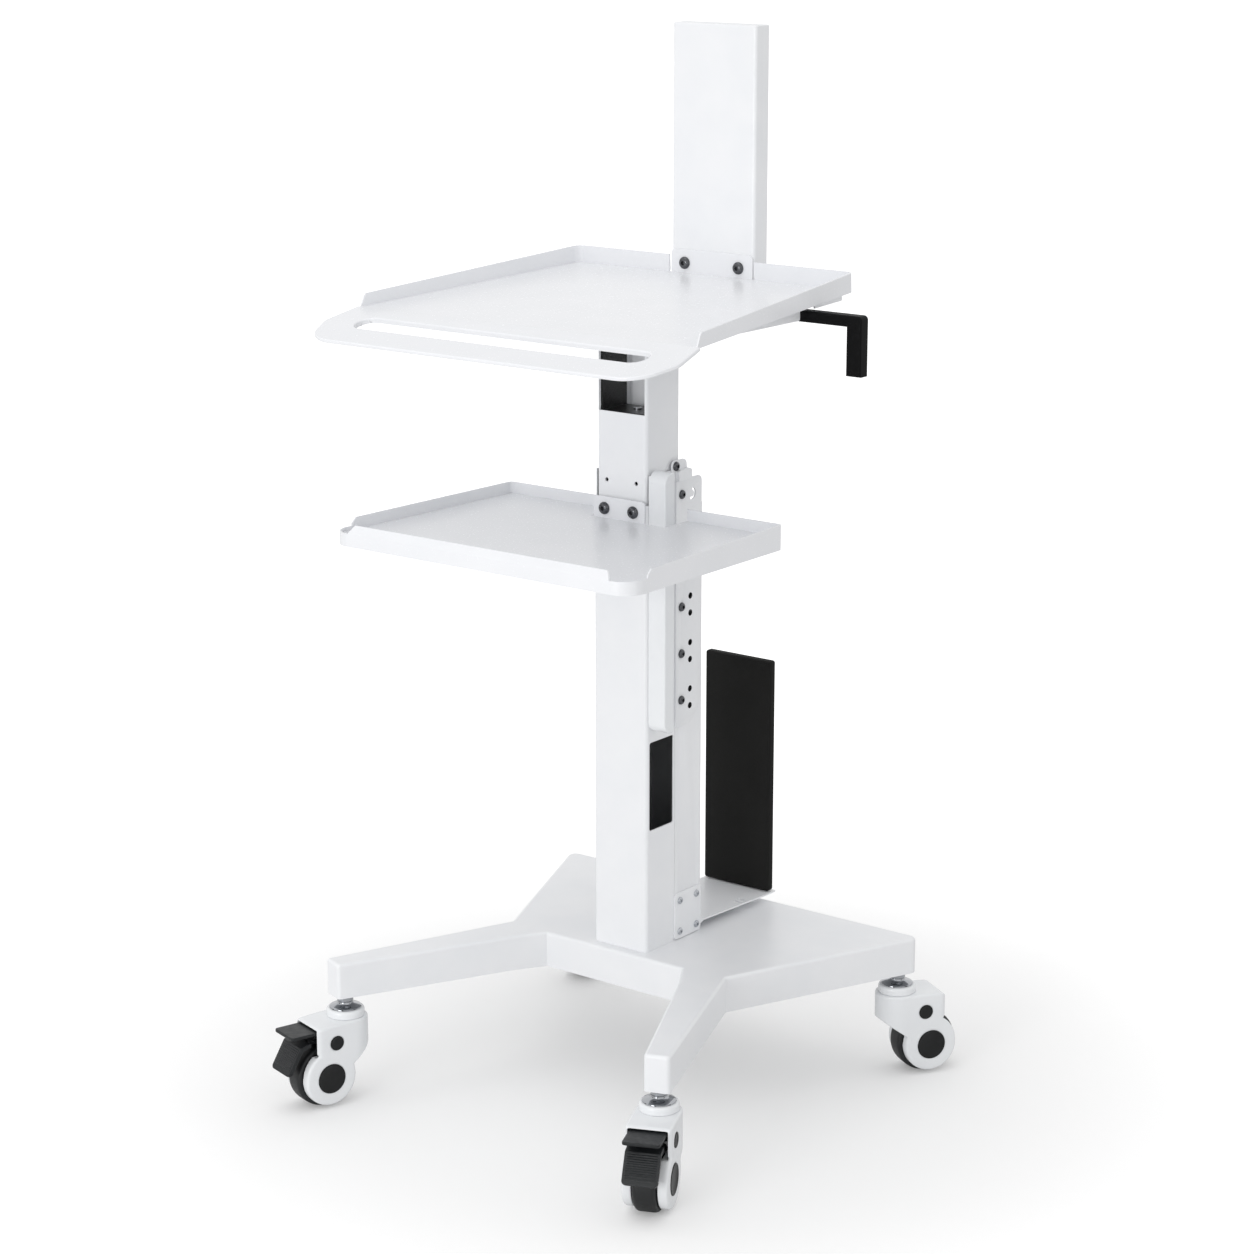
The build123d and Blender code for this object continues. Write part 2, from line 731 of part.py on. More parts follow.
# Pan under the tray, with the ears of the lever
pan_mid_y = (pan_front_y + pan_rear_y) / 2
pan_depth = pan_rear_y - pan_front_y
pan_height = tray_floor_z - pan_skirt_z
pan_plate_front_y = pan_front_y + sheet
pan_plate_rear_y = pan_rear_y - sheet
ear_inner = lever_depth / 2 + axial_gap
ear_top_z = underside(lever_mid_y, 1) - sheet / 2
with BuildPart() as tray_support:
    with BuildSketch(Plane.XY.offset(pan_skirt_z)):
        with Locations((0, pan_mid_y)):
            RectangleRounded(2 * pan_half, pan_depth, pan_radius)
    extrude(amount=pan_height)
    with BuildSketch(Plane.XY.offset(pan_skirt_z)):
        with Locations((0, pan_mid_y)):
            RectangleRounded(2 * (pan_half - sheet), pan_depth - 2 * sheet, pan_radius - sheet)
    extrude(amount=pan_height, mode=Mode.SUBTRACT)
    with BuildSketch(Plane.YZ):
        Polygon((pan_plate_front_y - 1, underside(pan_plate_front_y - 1, 2)),
                (pan_plate_rear_y + 1, underside(pan_plate_rear_y + 1, 2)),
                (pan_plate_rear_y + 1, underside(pan_plate_rear_y + 1, 1)),
                (pan_plate_front_y - 1, underside(pan_plate_front_y - 1, 1)), align=None)
    extrude(amount=pan_half - sheet / 2, both=True)
    with BuildSketch(Plane.YZ):
        Polygon((pan_front_y - 1, underside(pan_front_y - 1, 1) - joint_gap),
                (pan_rear_y + 1, underside(pan_rear_y + 1, 1) - joint_gap),
                (pan_rear_y + 1, tray_floor_z + 1), (pan_front_y - 1, tray_floor_z + 1), align=None)
        Polygon((pan_skirt_rear_y, pan_skirt_z - 1), (pan_rear_y + 1, pan_skirt_z - 1),
                (pan_rear_y + 1, underside(pan_rear_y + 1, 1) - pan_lip),
                (lever_gap_rear_y, underside(lever_gap_rear_y, 1) - pan_lip),
                (pan_skirt_rear_y, pan_skirt_z), align=None)
    extrude(amount=pan_half + 1, both=True, mode=Mode.SUBTRACT)
    with BuildSketch(Plane.YZ.offset(pan_half - sheet * 2)):
        Polygon((lever_gap_front_y, pan_skirt_z - 1), (lever_gap_rear_y, pan_skirt_z - 1),
                (lever_gap_rear_y, underside(lever_gap_rear_y, 2) - joint_gap),
                (lever_gap_front_y, underside(lever_gap_front_y, 2) - joint_gap), align=None)
    extrude(amount=sheet * 3, mode=Mode.SUBTRACT)
    for side in (-1, 1):
        with BuildSketch(Plane.XZ.offset(-(lever_mid_y + side * (ear_inner + ear_sheet / 2)))):
            with Locations((lever_pin_x, (pan_skirt_z + ear_top_z) / 2)):
                Rectangle(ear_width, ear_top_z - pan_skirt_z)
        extrude(amount=ear_sheet / 2, both=True)
    with BuildSketch(Plane.XZ.offset(-lever_mid_y)):
        with Locations((lever_pin_x, lever_pin_z)):
            Circle(lever_pin_radius + joint_gap)
    extrude(amount=ear_inner + ear_sheet, both=True, mode=Mode.SUBTRACT)
save(tray_support, "tray_support")

# Release lever and its pivot
with BuildPart() as release_lever:
    with BuildSketch(Plane.XZ.offset(-lever_mid_y)):
        Polygon((lever_inner_x, lever_top_z - lever_height), (lever_inner_x, lever_top_z),
                (lever_outer_x, lever_top_z), (lever_outer_x, lever_leg_bottom_z),
                (lever_outer_x - lever_leg_width, lever_leg_bottom_z),
                (lever_outer_x - lever_leg_width, lever_top_z - lever_height), align=None)
        fillet(vertices().group_by(Axis.X)[-1].sort_by(Axis.Y)[-1], lever_corner_radius)
    extrude(amount=lever_depth / 2, both=True)
    chamfer(faces().sort_by(Axis.Y)[0].edges(), lever_edge)
    chamfer(faces().sort_by(Axis.Y)[-1].edges(), lever_edge)
    with BuildSketch(Plane.XZ.offset(-lever_mid_y)):
        with Locations((lever_pin_x, lever_pin_z)):
            Circle(lever_pin_radius + running_gap)
    extrude(amount=lever_depth, both=True, mode=Mode.SUBTRACT)
save(release_lever, "release_lever")

pin_reach = ear_inner + ear_sheet
with BuildPart() as lever_pivot:
    with BuildSketch(Plane.XZ.offset(-lever_mid_y)):
        with Locations((lever_pin_x, lever_pin_z)):
            Circle(lever_pin_radius)
    extrude(amount=pin_reach + joint_gap, both=True)
    for side in (-1, 1):
        head_y = lever_mid_y + side * (pin_reach + joint_gap + lever_pin_head / 2)
        with BuildSketch(Plane.XZ.offset(-head_y)):
            with Locations((lever_pin_x, lever_pin_z)):
                Circle(lever_pin_head_radius)
        extrude(amount=lever_pin_head / 2, both=True)
save(lever_pivot, "lever_pivot")

# Rear post and its bolts
post_front_y = tray_rear_y + joint_gap
with BuildPart() as rear_post:
    with BuildSketch(Plane.XY.offset(post_bottom_z)):
        with Locations((0, post_front_y + post_depth / 2)):
            RectangleRounded(2 * post_half, post_depth, post_edge_radius)
    extrude(amount=post_top_z - post_bottom_z)
    fillet(faces().sort_by(Axis.Z)[-1].edges(), post_edge_radius / 2)
    with BuildSketch(Plane.XY.offset(post_bottom_z)):
        with Locations((0, post_front_y + post_depth / 2)):
            RectangleRounded(2 * (post_half - post_wall), post_depth - 2 * post_wall,
                             post_edge_radius - post_wall)
    extrude(amount=post_top_z - post_bottom_z - post_wall, mode=Mode.SUBTRACT)
    with BuildSketch(Plane.XZ.offset(-post_front_y)):
        with Locations((-post_bolt_x, post_bolt_z), (post_bolt_x, post_bolt_z)):
            Circle(m8_screw[2] + hole_gap)
    extrude(amount=-post_wall, mode=Mode.SUBTRACT)
save(rear_post, "rear_post")

post_seats = [facing(side * post_bolt_x, tray_rear_y - sheet, post_bolt_z, "front") for side in (-1, 1)]
save(button_screws(post_seats, m8_screw, sheet + post_wall + m8_screw[0]), "post_bolts")

# Lower tray
shelf_bottom_z = shelf_skirt_rear_z - 1
column_front_y = -column_depth / 2
shelf_tab_y = column_front_y - joint_gap
shelf_notch_y = shelf_tab_y - sheet


def shelf_outline(inset):
    """The lower tray's plan."""
    rear, front = shelf_rear_half - inset, shelf_front_half - inset
    Polygon((rear, shelf_rear_y - inset), (front, shelf_front_y + inset),
            (-front, shelf_front_y + inset), (-rear, shelf_rear_y - inset), align=None)
    fillet(vertices().group_by(Axis.Y)[0], shelf_front_radius - inset)
    fillet(vertices().group_by(Axis.Y)[-1], shelf_rear_radius - inset)


with BuildPart() as lower_tray:
    with BuildSketch(Plane.XY.offset(shelf_bottom_z)):
        shelf_outline(0)
    extrude(amount=shelf_rim_z - shelf_bottom_z)
    with BuildSketch(Plane.XY.offset(shelf_floor_z)):
        shelf_outline(sheet)
    extrude(amount=shelf_rim_z, mode=Mode.SUBTRACT)
    with BuildSketch(Plane.XY.offset(shelf_floor_z - sheet)):
        shelf_outline(sheet)
    extrude(amount=-shelf_rim_z, mode=Mode.SUBTRACT)
    with BuildSketch(Plane.YZ):
        Polygon((shelf_front_y - 1, shelf_bottom_z - 1), (shelf_rear_y + 1, shelf_bottom_z - 1),
                (shelf_rear_y + 1, shelf_skirt_rear_z), (shelf_front_y - 1, shelf_skirt_front_z), align=None)
        Polygon((shelf_front_y - 1, shelf_front_rim_z), (shelf_step_y, shelf_front_rim_z),
                (shelf_step_y, shelf_rim_z - shelf_step_drop), (shelf_step_y + shelf_step_run, shelf_rim_z),
                (shelf_step_y + shelf_step_run, shelf_rim_z + 1), (shelf_front_y - 1, shelf_rim_z + 1),
                align=None)
    extrude(amount=shelf_front_half + 1, both=True, mode=Mode.SUBTRACT)
    with BuildSketch(Plane.YZ):
        Polygon(*band([(shelf_front_y + sheet / 2, shelf_front_rim_z - sheet),
                       (shelf_front_y + sheet / 2, shelf_front_rim_z),
                       (shelf_front_y + sheet / 2 + strip_lean, shelf_rim_z)], sheet), align=None)
    extrude(amount=strip_half - 1, both=True)
    with BuildSketch(Plane.XZ.offset(-shelf_front_y + 1)):
        for side in (-1, 1):
            Polygon((side * strip_half, shelf_front_rim_z),
                    (side * (strip_half - strip_nose), shelf_rim_z + sheet),
                    (side * (strip_half + 1), shelf_rim_z + sheet),
                    (side * (strip_half + 1), shelf_front_rim_z), align=None)
    extrude(amount=-shelf_front_radius / 2, mode=Mode.SUBTRACT)
    with BuildSketch(Plane.XY.offset(shelf_bottom_z)):
        with Locations(((notch_left_x + notch_right_x) / 2, shelf_notch_y / 2)):
            Rectangle(notch_right_x - notch_left_x, -shelf_notch_y)
    extrude(amount=shelf_rim_z, mode=Mode.SUBTRACT)
    with BuildSketch(Plane.XZ.offset(-shelf_tab_y)):
        with Locations((0, (shelf_floor_z - sheet + shelf_tab_top_z) / 2)):
            Rectangle(2 * shelf_tab_half, shelf_tab_top_z - shelf_floor_z + sheet)
        fillet(vertices().group_by(Axis.Y)[-1], shelf_tab_radius)
        with Locations((-shelf_bolt_x, shelf_bolt_z), (shelf_bolt_x, shelf_bolt_z)):
            Circle(m8_screw[2] + hole_gap, mode=Mode.SUBTRACT)
    extrude(amount=sheet + joint_gap)
save(lower_tray, "lower_tray")

shelf_seat_y = shelf_notch_y - joint_gap
shelf_seats = [facing(side * shelf_bolt_x, shelf_seat_y, shelf_bolt_z, "front") for side in (-1, 1)]
save(button_screws(shelf_seats, m8_screw, sheet + column_wall), "lower_tray_bolts")


# Accessory plates on both sides of the column
def side_plate(side):
    """One accessory plate: side is 1 on the right and -1 on the left."""
    with BuildPart() as plate:
        with BuildSketch(Plane.YZ.offset(side * (column_half + joint_gap + side_sheet / 2))):
            Polygon((side_front_y, side_bottom_z), (side_tail_y, side_bottom_z), (side_rear_y, side_tail_z),
                    (side_rear_y, side_top_z), (side_front_y, side_top_z), align=None)
            fillet(vertices().filter_by(lambda v: v.X > side_front_y + 1), side_radius)
            with Locations(*side_screw_points):
                Circle(m6_screw[2] + hole_gap, mode=Mode.SUBTRACT)
            with Locations(*side_hole_points):
                Circle(side_hole_radius, mode=Mode.SUBTRACT)
        extrude(amount=side_sheet / 2, both=True)
    return plate


save(side_plate(1), "side_plate_right")
save(side_plate(-1), "side_plate_left")

side_outer = column_half + joint_gap + side_sheet
side_seats = [facing(side_outer, y, z, "right") for y, z in side_screw_points]
side_seats += [facing(-side_outer, y, z, "left") for y, z in side_screw_points]
side_seats += [facing(column_half + joint_gap + lug_sheet, clamp_bolt_y, clamp_bolt_z, "right")]
save(button_screws(side_seats, m6_screw, side_sheet + column_wall), "side_plate_screws")

# Cable cover: a hollow bar open towards the column, with two inner bosses
cover_mid_y = (cover_front_y + cover_rear_y) / 2
with BuildPart() as cable_cover:
    with BuildSketch(Plane.YZ.offset(column_half + cover_gap)):
        Polygon((cover_front_y, cover_bottom_z), (cover_rear_y, cover_bottom_z), (cover_rear_y, cover_top_z),
                (cover_front_y, cover_top_z), align=None)
        fillet(vertices().group_by(Axis.X)[0], cover_nose_radius)
        fillet(vertices().group_by(Axis.X)[-1], cover_heel_radius)
    extrude(amount=cover_width)
    fillet(faces().sort_by(Axis.X)[-1].edges(), cover_heel_radius / 2)
    with BuildSketch(Plane.YZ.offset(column_half + cover_gap)):
        with Locations((cover_mid_y, (cover_bottom_z + cover_top_z) / 2)):
            RectangleRounded(cover_rear_y - cover_front_y - 2 * cover_wall,
                             cover_top_z - cover_bottom_z - 2 * cover_nose_radius, cover_wall)
    extrude(amount=cover_width - cover_wall, mode=Mode.SUBTRACT)
    with BuildSketch(Plane.YZ.offset(column_half + cover_gap)):
        with Locations(*[(cover_mid_y, z) for z in cover_boss_z]):
            Circle(cover_boss_radius)
    extrude(amount=cover_width - cover_wall / 2)
save(cable_cover, "cable_cover")

# Clamp block over the right accessory plate, and its bolt
with BuildPart() as clamp_block:
    with BuildSketch(Plane.YZ.offset(column_half + joint_gap)):
        Polygon((lug_front_y, side_top_z + plate_gap), (lug_rear_y, side_top_z + plate_gap),
                (lug_rear_y, lug_top_z), (lug_front_y, lug_top_z), align=None)
        fillet(vertices().group_by(Axis.Y)[-1], lug_radius)
        with Locations((clamp_bolt_y, clamp_bolt_z)):
            Circle(m6_screw[2] + hole_gap, mode=Mode.SUBTRACT)
    extrude(amount=lug_sheet)
    with BuildSketch(Plane.YZ.offset(column_half + joint_gap + lug_sheet)):
        Polygon((block_front_y, side_top_z + plate_gap), (block_rear_y, side_top_z + plate_gap),
                (block_rear_y, block_top_z - block_bevel_fall), (block_rear_y - block_bevel_run, block_top_z),
                (block_front_y, block_top_z), align=None)
        with Locations((clamp_bolt_y, clamp_bolt_z)):
            Circle(m6_screw[0] + plate_gap, mode=Mode.SUBTRACT)
    extrude(amount=block_width - lug_sheet)
save(clamp_block, "clamp_block")

# Host bracket: two cheek plates, a shelf and an upright
host_outer = column_half + joint_gap + host_sheet
host_start_y = column_depth / 2 + plate_gap
host_neck_y = host_plate_rear_y - host_plate_radius
with BuildPart() as host_bracket:
    for side in (-1, 1):
        with BuildSketch(Plane.YZ.offset(side * (host_outer - host_sheet / 2))):
            Polygon((host_plate_front_y, host_plate_bottom_z), (host_plate_rear_y, host_plate_bottom_z),
                    (host_plate_rear_y, host_plate_top_z), (host_plate_front_y, host_plate_top_z), align=None)
            fillet(vertices(), host_plate_radius)
            with Locations(*host_screw_points):
                Circle(m5_screw[2] + hole_gap, mode=Mode.SUBTRACT)
        extrude(amount=host_sheet / 2, both=True)
        with BuildSketch(Plane.YZ.offset(side * (host_outer - host_sheet / 2))):
            Polygon((host_neck_y, host_z - 3 * host_sheet), (host_root_y, host_z - host_sheet),
                    (host_root_y, host_z), (host_neck_y, host_z + 3 * host_sheet), align=None)
        extrude(amount=host_sheet / 2, both=True)
    with BuildSketch(Plane.XY.offset(host_z - host_sheet)):
        Polygon((host_outer, host_start_y), (host_flare_half, host_flare_y),
                (host_flare_half, host_rear_y), (-host_flare_half, host_rear_y),
                (-host_flare_half, host_flare_y), (-host_outer, host_start_y), align=None)
        for side in (-1, 1):
            with Locations(*[(side * host_slot_x, host_slot_y + row * host_slot_pitch) for row in (0, 1)]):
                SlotOverall(host_slot_length, host_slot_width, mode=Mode.SUBTRACT)
    extrude(amount=host_sheet)
    with BuildSketch(Plane.XZ.offset(-host_rear_y)):
        with Locations((0, (host_z - host_sheet + host_upright_top_z) / 2)):
            Rectangle(2 * host_upright_half, host_upright_top_z - host_z + host_sheet)
        fillet(vertices().group_by(Axis.Y)[-1], pad_radius)
    extrude(amount=host_sheet)
save(host_bracket, "host_bracket")

host_seats = [facing(host_outer, y, z, "right") for y, z in host_screw_points]
host_seats += [facing(-host_outer, y, z, "left") for y, z in host_screw_points]
save(button_screws(host_seats, m5_screw, host_sheet + column_wall), "host_bracket_screws")

with BuildPart() as host_pad:
    with BuildSketch(Plane.XZ.offset(-(host_rear_y - host_sheet - joint_gap))):
        with Locations((0, (pad_bottom_z + pad_top_z) / 2)):
            RectangleRounded(2 * pad_half, pad_top_z - pad_bottom_z, pad_radius)
    extrude(amount=pad_thickness)
    fillet(faces().sort_by(Axis.Y)[0].edges(), pad_edge_radius)
save(host_pad, "host_pad")


# Casters
def caster(name, place, heading, braked):
    """Writes every piece of one caster; braked casters carry the two pedals."""
    turn = radians(heading)
    hub_z = wheel_diameter / 2
    wheel_radius = wheel_diameter / 2
    outer = caster_width / 2
    half = tyre_width / 2
    cheek_inner = half + wheel_side_room
    cap_floor = outer - cap_recess
    top = Plane(origin=(place[0], place[1], 0), x_dir=(cos(turn), sin(turn), 0), z_dir=(0, 0, 1))
    side = Plane(origin=top.origin, x_dir=top.x_dir, z_dir=-top.y_dir)
    hub = Plane(origin=top.from_local_coords((caster_trail, 0, hub_z)), x_dir=top.x_dir, z_dir=top.y_dir)
    hub_axis = Axis(hub.origin, hub.z_dir)
    swivel_axis = Axis(top.origin, top.z_dir)
    stem_top_z = base_underside_z + bottom_plate_thickness + stem_thread_length - axial_gap
    stem_collar_top_z = base_underside_z - joint_gap
    race_z = caster_top_z + axial_gap
    race_top_z = race_z + race_height
    ring_bottom_z = caster_top_z + joint_gap
    ring_top_z = caster_top_z + ring_height
    cone_z = ring_top_z + axial_gap
    spindle_bottom_z = caster_top_z - spindle_depth

    with BuildPart() as stem:
        with BuildSketch(beside(top)):
            Polygon(
                (0, spindle_bottom_z), (spindle_radius, spindle_bottom_z), (spindle_radius, race_z),
                (race_radius, race_z), (race_radius, race_top_z), (spindle_radius, race_top_z),
                (spindle_radius, cone_z), (cone_radius, cone_z),
                (stem_collar_radius, base_underside_z - stem_collar_height),
                (stem_collar_radius, stem_collar_top_z), (stem_thread_radius, stem_collar_top_z),
                (stem_thread_radius, stem_top_z), (0, stem_top_z), align=None)
        revolve(axis=swivel_axis)
    save(stem, f"{name}_stem")

    with BuildPart() as ring:
        with BuildSketch(beside(top)):
            Polygon(
                (ring_radius, ring_bottom_z), (ring_radius, ring_top_z - ring_bevel),
                (ring_radius - ring_bevel, ring_top_z),
                (spindle_radius + axial_gap, ring_top_z), (spindle_radius + axial_gap, ring_top_z - ring_lip),
                (race_radius + axial_gap, ring_top_z - ring_lip), (race_radius + axial_gap, ring_bottom_z),
                align=None)
        revolve(axis=swivel_axis)
    save(ring, f"{name}_swivel_ring")

    with BuildPart() as housing:
        with BuildSketch(top.offset(caster_heel_z)):
            Circle(outer)
            with Locations((caster_front / 2, 0)):
                Rectangle(caster_front, caster_width)
            fillet(vertices().group_by(Axis.X)[-1], caster_front_radius)
        extrude(amount=caster_top_z - caster_heel_z)
        with BuildSketch(side):
            Polygon((ring_radius, caster_top_z), (caster_front - brow_run, caster_top_z - caster_top_fall),
                    (caster_front - brow_step, caster_top_z - caster_top_fall - brow_fall),
                    (caster_front + cut_over, caster_top_z - caster_top_fall - brow_drop),
                    (caster_front + cut_over, caster_top_z + cut_over),
                    (ring_radius, caster_top_z + cut_over), align=None)
            Polygon((-outer - cut_over, caster_heel_z - cut_over), (caster_heel_t, caster_heel_z - cut_over),
                    (caster_heel_t, caster_heel_z), (-outer, caster_back_bottom_z),
                    (-outer - cut_over, caster_back_bottom_z), align=None)
            Polygon((caster_trail, caster_heel_z - cut_over),
                    (caster_front + cut_over, caster_heel_z - cut_over),
                    (caster_front + cut_over, caster_front_bottom_z),
                    (caster_front - chin_run, caster_front_bottom_z - chin_rise), align=None)
        extrude(amount=outer + cut_over, both=True, mode=Mode.SUBTRACT)
        with BuildSketch(beside(hub)):
            Polygon(
                (0, -outer), (cheek_radius - cheek_edge_radius, -outer),
                (cheek_radius - cheek_edge_mid, -outer + cheek_edge_mid),
                (cheek_radius, -outer + cheek_edge_radius), (cheek_radius, outer - cheek_edge_radius),
                (cheek_radius - cheek_edge_mid, outer - cheek_edge_mid),
                (cheek_radius - cheek_edge_radius, outer), (0, outer), align=None)
        revolve(axis=hub_axis)
        with BuildSketch(side):
            with Locations((caster_trail, hub_z)):
                Circle(wheel_radius + wheel_room)
        extrude(amount=cheek_inner, both=True, mode=Mode.SUBTRACT)
        with BuildSketch(top.offset(spindle_bottom_z - axial_gap)):
            Circle(spindle_radius + running_gap)
        extrude(amount=spindle_depth + axial_gap, mode=Mode.SUBTRACT)
        with BuildSketch(side):
            with Locations((caster_trail, hub_z)):
                Circle(axle_radius + joint_gap)
        extrude(amount=outer, both=True, mode=Mode.SUBTRACT)
        for n in (-1, 1):
            with BuildSketch(side.offset(n * outer)):
                with Locations((caster_trail, hub_z)):
                    Circle(hub_cap_radius + hole_gap)
                with Locations((lock_pin_t, lock_pin_z)):
                    Circle(pin_cap_radius + hole_gap)
            extrude(amount=-n * cap_recess, mode=Mode.SUBTRACT)
        if braked:
            with BuildSketch(top.offset(pocket_bottom_z)):
                with Locations(((pocket_back_t + caster_front + 1) / 2, 0)):
                    Rectangle(caster_front + 1 - pocket_back_t, 2 * pocket_half)
            extrude(amount=pocket_top_z - pocket_bottom_z, mode=Mode.SUBTRACT)
            with BuildSketch(side):
                with Locations((lock_pin_t, lock_pin_z)):
                    Circle(lock_pin_radius + running_gap)
                with Locations((release_pin_t, release_pin_z)):
                    Circle(release_pin_radius + running_gap)
            extrude(amount=trunnion_end + hole_gap, both=True, mode=Mode.SUBTRACT)
        deck = edges().filter_by(lambda e: e.center().Z > caster_top_z - caster_top_fall + joint_gap)
        rim = deck.filter_by(lambda e: abs(top.to_local_coords(e.center()).Y) > outer - hole_gap * 4
                             or top.to_local_coords(e.center()).X < -stem_thread_radius * 3)
        fillet(rim, deck_edge_radius)
    save(housing, f"{name}_housing")

    with BuildPart() as axle:
        with BuildSketch(side):
            with Locations((caster_trail, hub_z)):
                Circle(axle_radius)
        extrude(amount=cap_floor - joint_gap, both=True)
    save(axle, f"{name}_axle")

    with BuildPart() as caps:
        for n in (-1, 1):
            with BuildSketch(side.offset(n * (cap_floor + joint_gap))):
                with Locations((caster_trail, hub_z)):
                    Circle(hub_cap_radius)
                with Locations((lock_pin_t, lock_pin_z)):
                    Circle(pin_cap_radius)
            extrude(amount=n * (cap_recess + cap_stand))
    save(caps, f"{name}_caps")

    core_outer = wheel_radius - tyre_thickness
    shoulder_mid = tyre_shoulder * 0.3
    with BuildPart() as tyre:
        with BuildSketch(beside(hub)):
            Polygon(
                (core_outer, -half), (wheel_radius - tyre_shoulder, -half),
                (wheel_radius - shoulder_mid, -half + shoulder_mid), (wheel_radius, -half + tyre_shoulder),
                (wheel_radius, half - tyre_shoulder), (wheel_radius - shoulder_mid, half - shoulder_mid),
                (wheel_radius - tyre_shoulder, half), (core_outer, half), align=None)
        revolve(axis=hub_axis)
    save(tyre, f"{name}_tyre")

    rim = core_outer - joint_gap
    hub_half = cheek_inner - axial_gap
    bore = axle_radius + running_gap
    with BuildPart() as core:
        with BuildSketch(beside(hub)):
            Polygon(
                (bore, -hub_half), (core_hub_radius, -hub_half), (core_hub_radius, -core_web / 2),
                (rim - core_rim, -core_web / 2), (rim - core_rim, -half), (rim, -half), (rim, half),
                (rim - core_rim, half), (rim - core_rim, core_web / 2), (core_hub_radius, core_web / 2),
                (core_hub_radius, hub_half), (bore, hub_half), align=None)
        revolve(axis=hub_axis)
    save(core, f"{name}_wheel_core")

    if not braked:
        return

    knee, toe = lock_path[-2], lock_path[-1]
    length = hypot(toe[0] - knee[0], toe[1] - knee[1])
    along = ((toe[0] - knee[0]) / length, (toe[1] - knee[1]) / length)
    arm_start_t = lock_pin_t - lock_hub_radius
    with BuildPart() as lock_pedal:
        with BuildSketch(side):
            Polygon(*band(lock_path, lock_thickness), align=None)
        extrude(amount=lock_half, both=True)
        with BuildSketch(top.offset(lock_pin_z - lock_thickness)):
            for n in (-1, 1):
                with Locations(((arm_start_t + lock_shoulder_t) / 2, n * lock_half)):
                    Rectangle(lock_shoulder_t - arm_start_t, 2 * (lock_half - lock_arm_half))
        extrude(amount=2 * lock_thickness, mode=Mode.SUBTRACT)
        toe_edges = edges().filter_by(lambda e: e.center().Z < toe[1] + lock_thickness)
        toe_edges = toe_edges.filter_by(lambda e: e.length < lock_thickness * 1.1)
        fillet(toe_edges, lock_toe_radius)
        with BuildSketch(side):
            for rib in range(lock_rib_count):
                step = (length - lock_toe_radius) * (rib + 1) / (lock_rib_count + 1)
                foot = (knee[0] + along[0] * step, knee[1] + along[1] * step)
                for across, rise in ((lock_rib_width, 0.5), (lock_rib_width / 2, 1.0)):
                    reach = lock_thickness / 2 + lock_rib_height * rise
                    Polygon((foot[0] - along[0] * across / 2, foot[1] - along[1] * across / 2),
                            (foot[0] + along[0] * across / 2, foot[1] + along[1] * across / 2),
                            (foot[0] + along[0] * across / 2 - along[1] * reach,
                             foot[1] + along[1] * across / 2 + along[0] * reach),
                            (foot[0] - along[0] * across / 2 - along[1] * reach,
                             foot[1] - along[1] * across / 2 + along[0] * reach), align=None)
        extrude(amount=lock_half - lock_rib_inset, both=True)
        with BuildSketch(side):
            with Locations((lock_pin_t, lock_pin_z)):
                Circle(lock_hub_radius)
        extrude(amount=lock_arm_half, both=True)
        with BuildSketch(side):
            with Locations((lock_pin_t, lock_pin_z)):
                Circle(lock_pin_radius)
        extrude(amount=trunnion_end - hole_gap, both=True)
    save(lock_pedal, f"{name}_lock_pedal")

    with BuildPart() as release_pedal:
        with BuildSketch(top.offset(release_bottom_z)):
            with Locations(((release_pin_t + release_toe_t) / 2, 0)):
                Rectangle(release_toe_t - release_pin_t, 2 * release_half)
            fillet(vertices().group_by(Axis.X)[-1], release_thickness)
        extrude(amount=release_thickness)
        with BuildSketch(side):
            with Locations((release_pin_t, release_pin_z)):
                Circle(release_hub_radius)
        extrude(amount=release_half, both=True)
        with BuildSketch(side):
            with Locations((release_pin_t, release_pin_z)):
                Circle(release_pin_radius)
        extrude(amount=trunnion_end - hole_gap, both=True)
    save(release_pedal, f"{name}_release_pedal")


for caster_name, caster_place in caster_places.items():
    caster(caster_name, caster_place, caster_headings[caster_name], caster_name.startswith("front"))
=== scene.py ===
# %% [markdown]
# # A height-adjustable equipment trolley, dressed in Blender
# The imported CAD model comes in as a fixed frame: every solid is in place, in metres, with its joints. This lesson
# gives each solid the finish of the real stand, and builds the pieces whose edges and curves the camera sees well.

# %% Load the frame
import json
from math import atan2, cos, hypot, pi, radians, sin

import bmesh
import bpy
from mathutils import Matrix, Vector


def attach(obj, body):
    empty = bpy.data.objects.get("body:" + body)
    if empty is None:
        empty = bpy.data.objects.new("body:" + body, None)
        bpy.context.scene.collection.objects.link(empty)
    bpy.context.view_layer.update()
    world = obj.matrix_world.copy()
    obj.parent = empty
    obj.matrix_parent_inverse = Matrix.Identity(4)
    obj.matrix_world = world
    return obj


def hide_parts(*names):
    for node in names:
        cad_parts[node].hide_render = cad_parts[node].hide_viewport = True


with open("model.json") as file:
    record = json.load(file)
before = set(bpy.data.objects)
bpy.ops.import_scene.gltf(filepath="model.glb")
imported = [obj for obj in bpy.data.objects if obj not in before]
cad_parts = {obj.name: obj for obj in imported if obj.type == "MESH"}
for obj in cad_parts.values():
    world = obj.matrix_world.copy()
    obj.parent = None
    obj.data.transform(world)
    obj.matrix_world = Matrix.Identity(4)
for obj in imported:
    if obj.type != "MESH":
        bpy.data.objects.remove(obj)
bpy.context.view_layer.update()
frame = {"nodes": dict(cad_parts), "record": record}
scene = bpy.context.scene
scene.view_settings.view_transform = "Standard"

MM = 0.001

# %% [markdown]
# ## The camera
# The photograph looks down a little, from the front and the right. A long lens keeps the column's edges nearly
# parallel. The camera is placed from the point it looks at, its two angles and its distance.

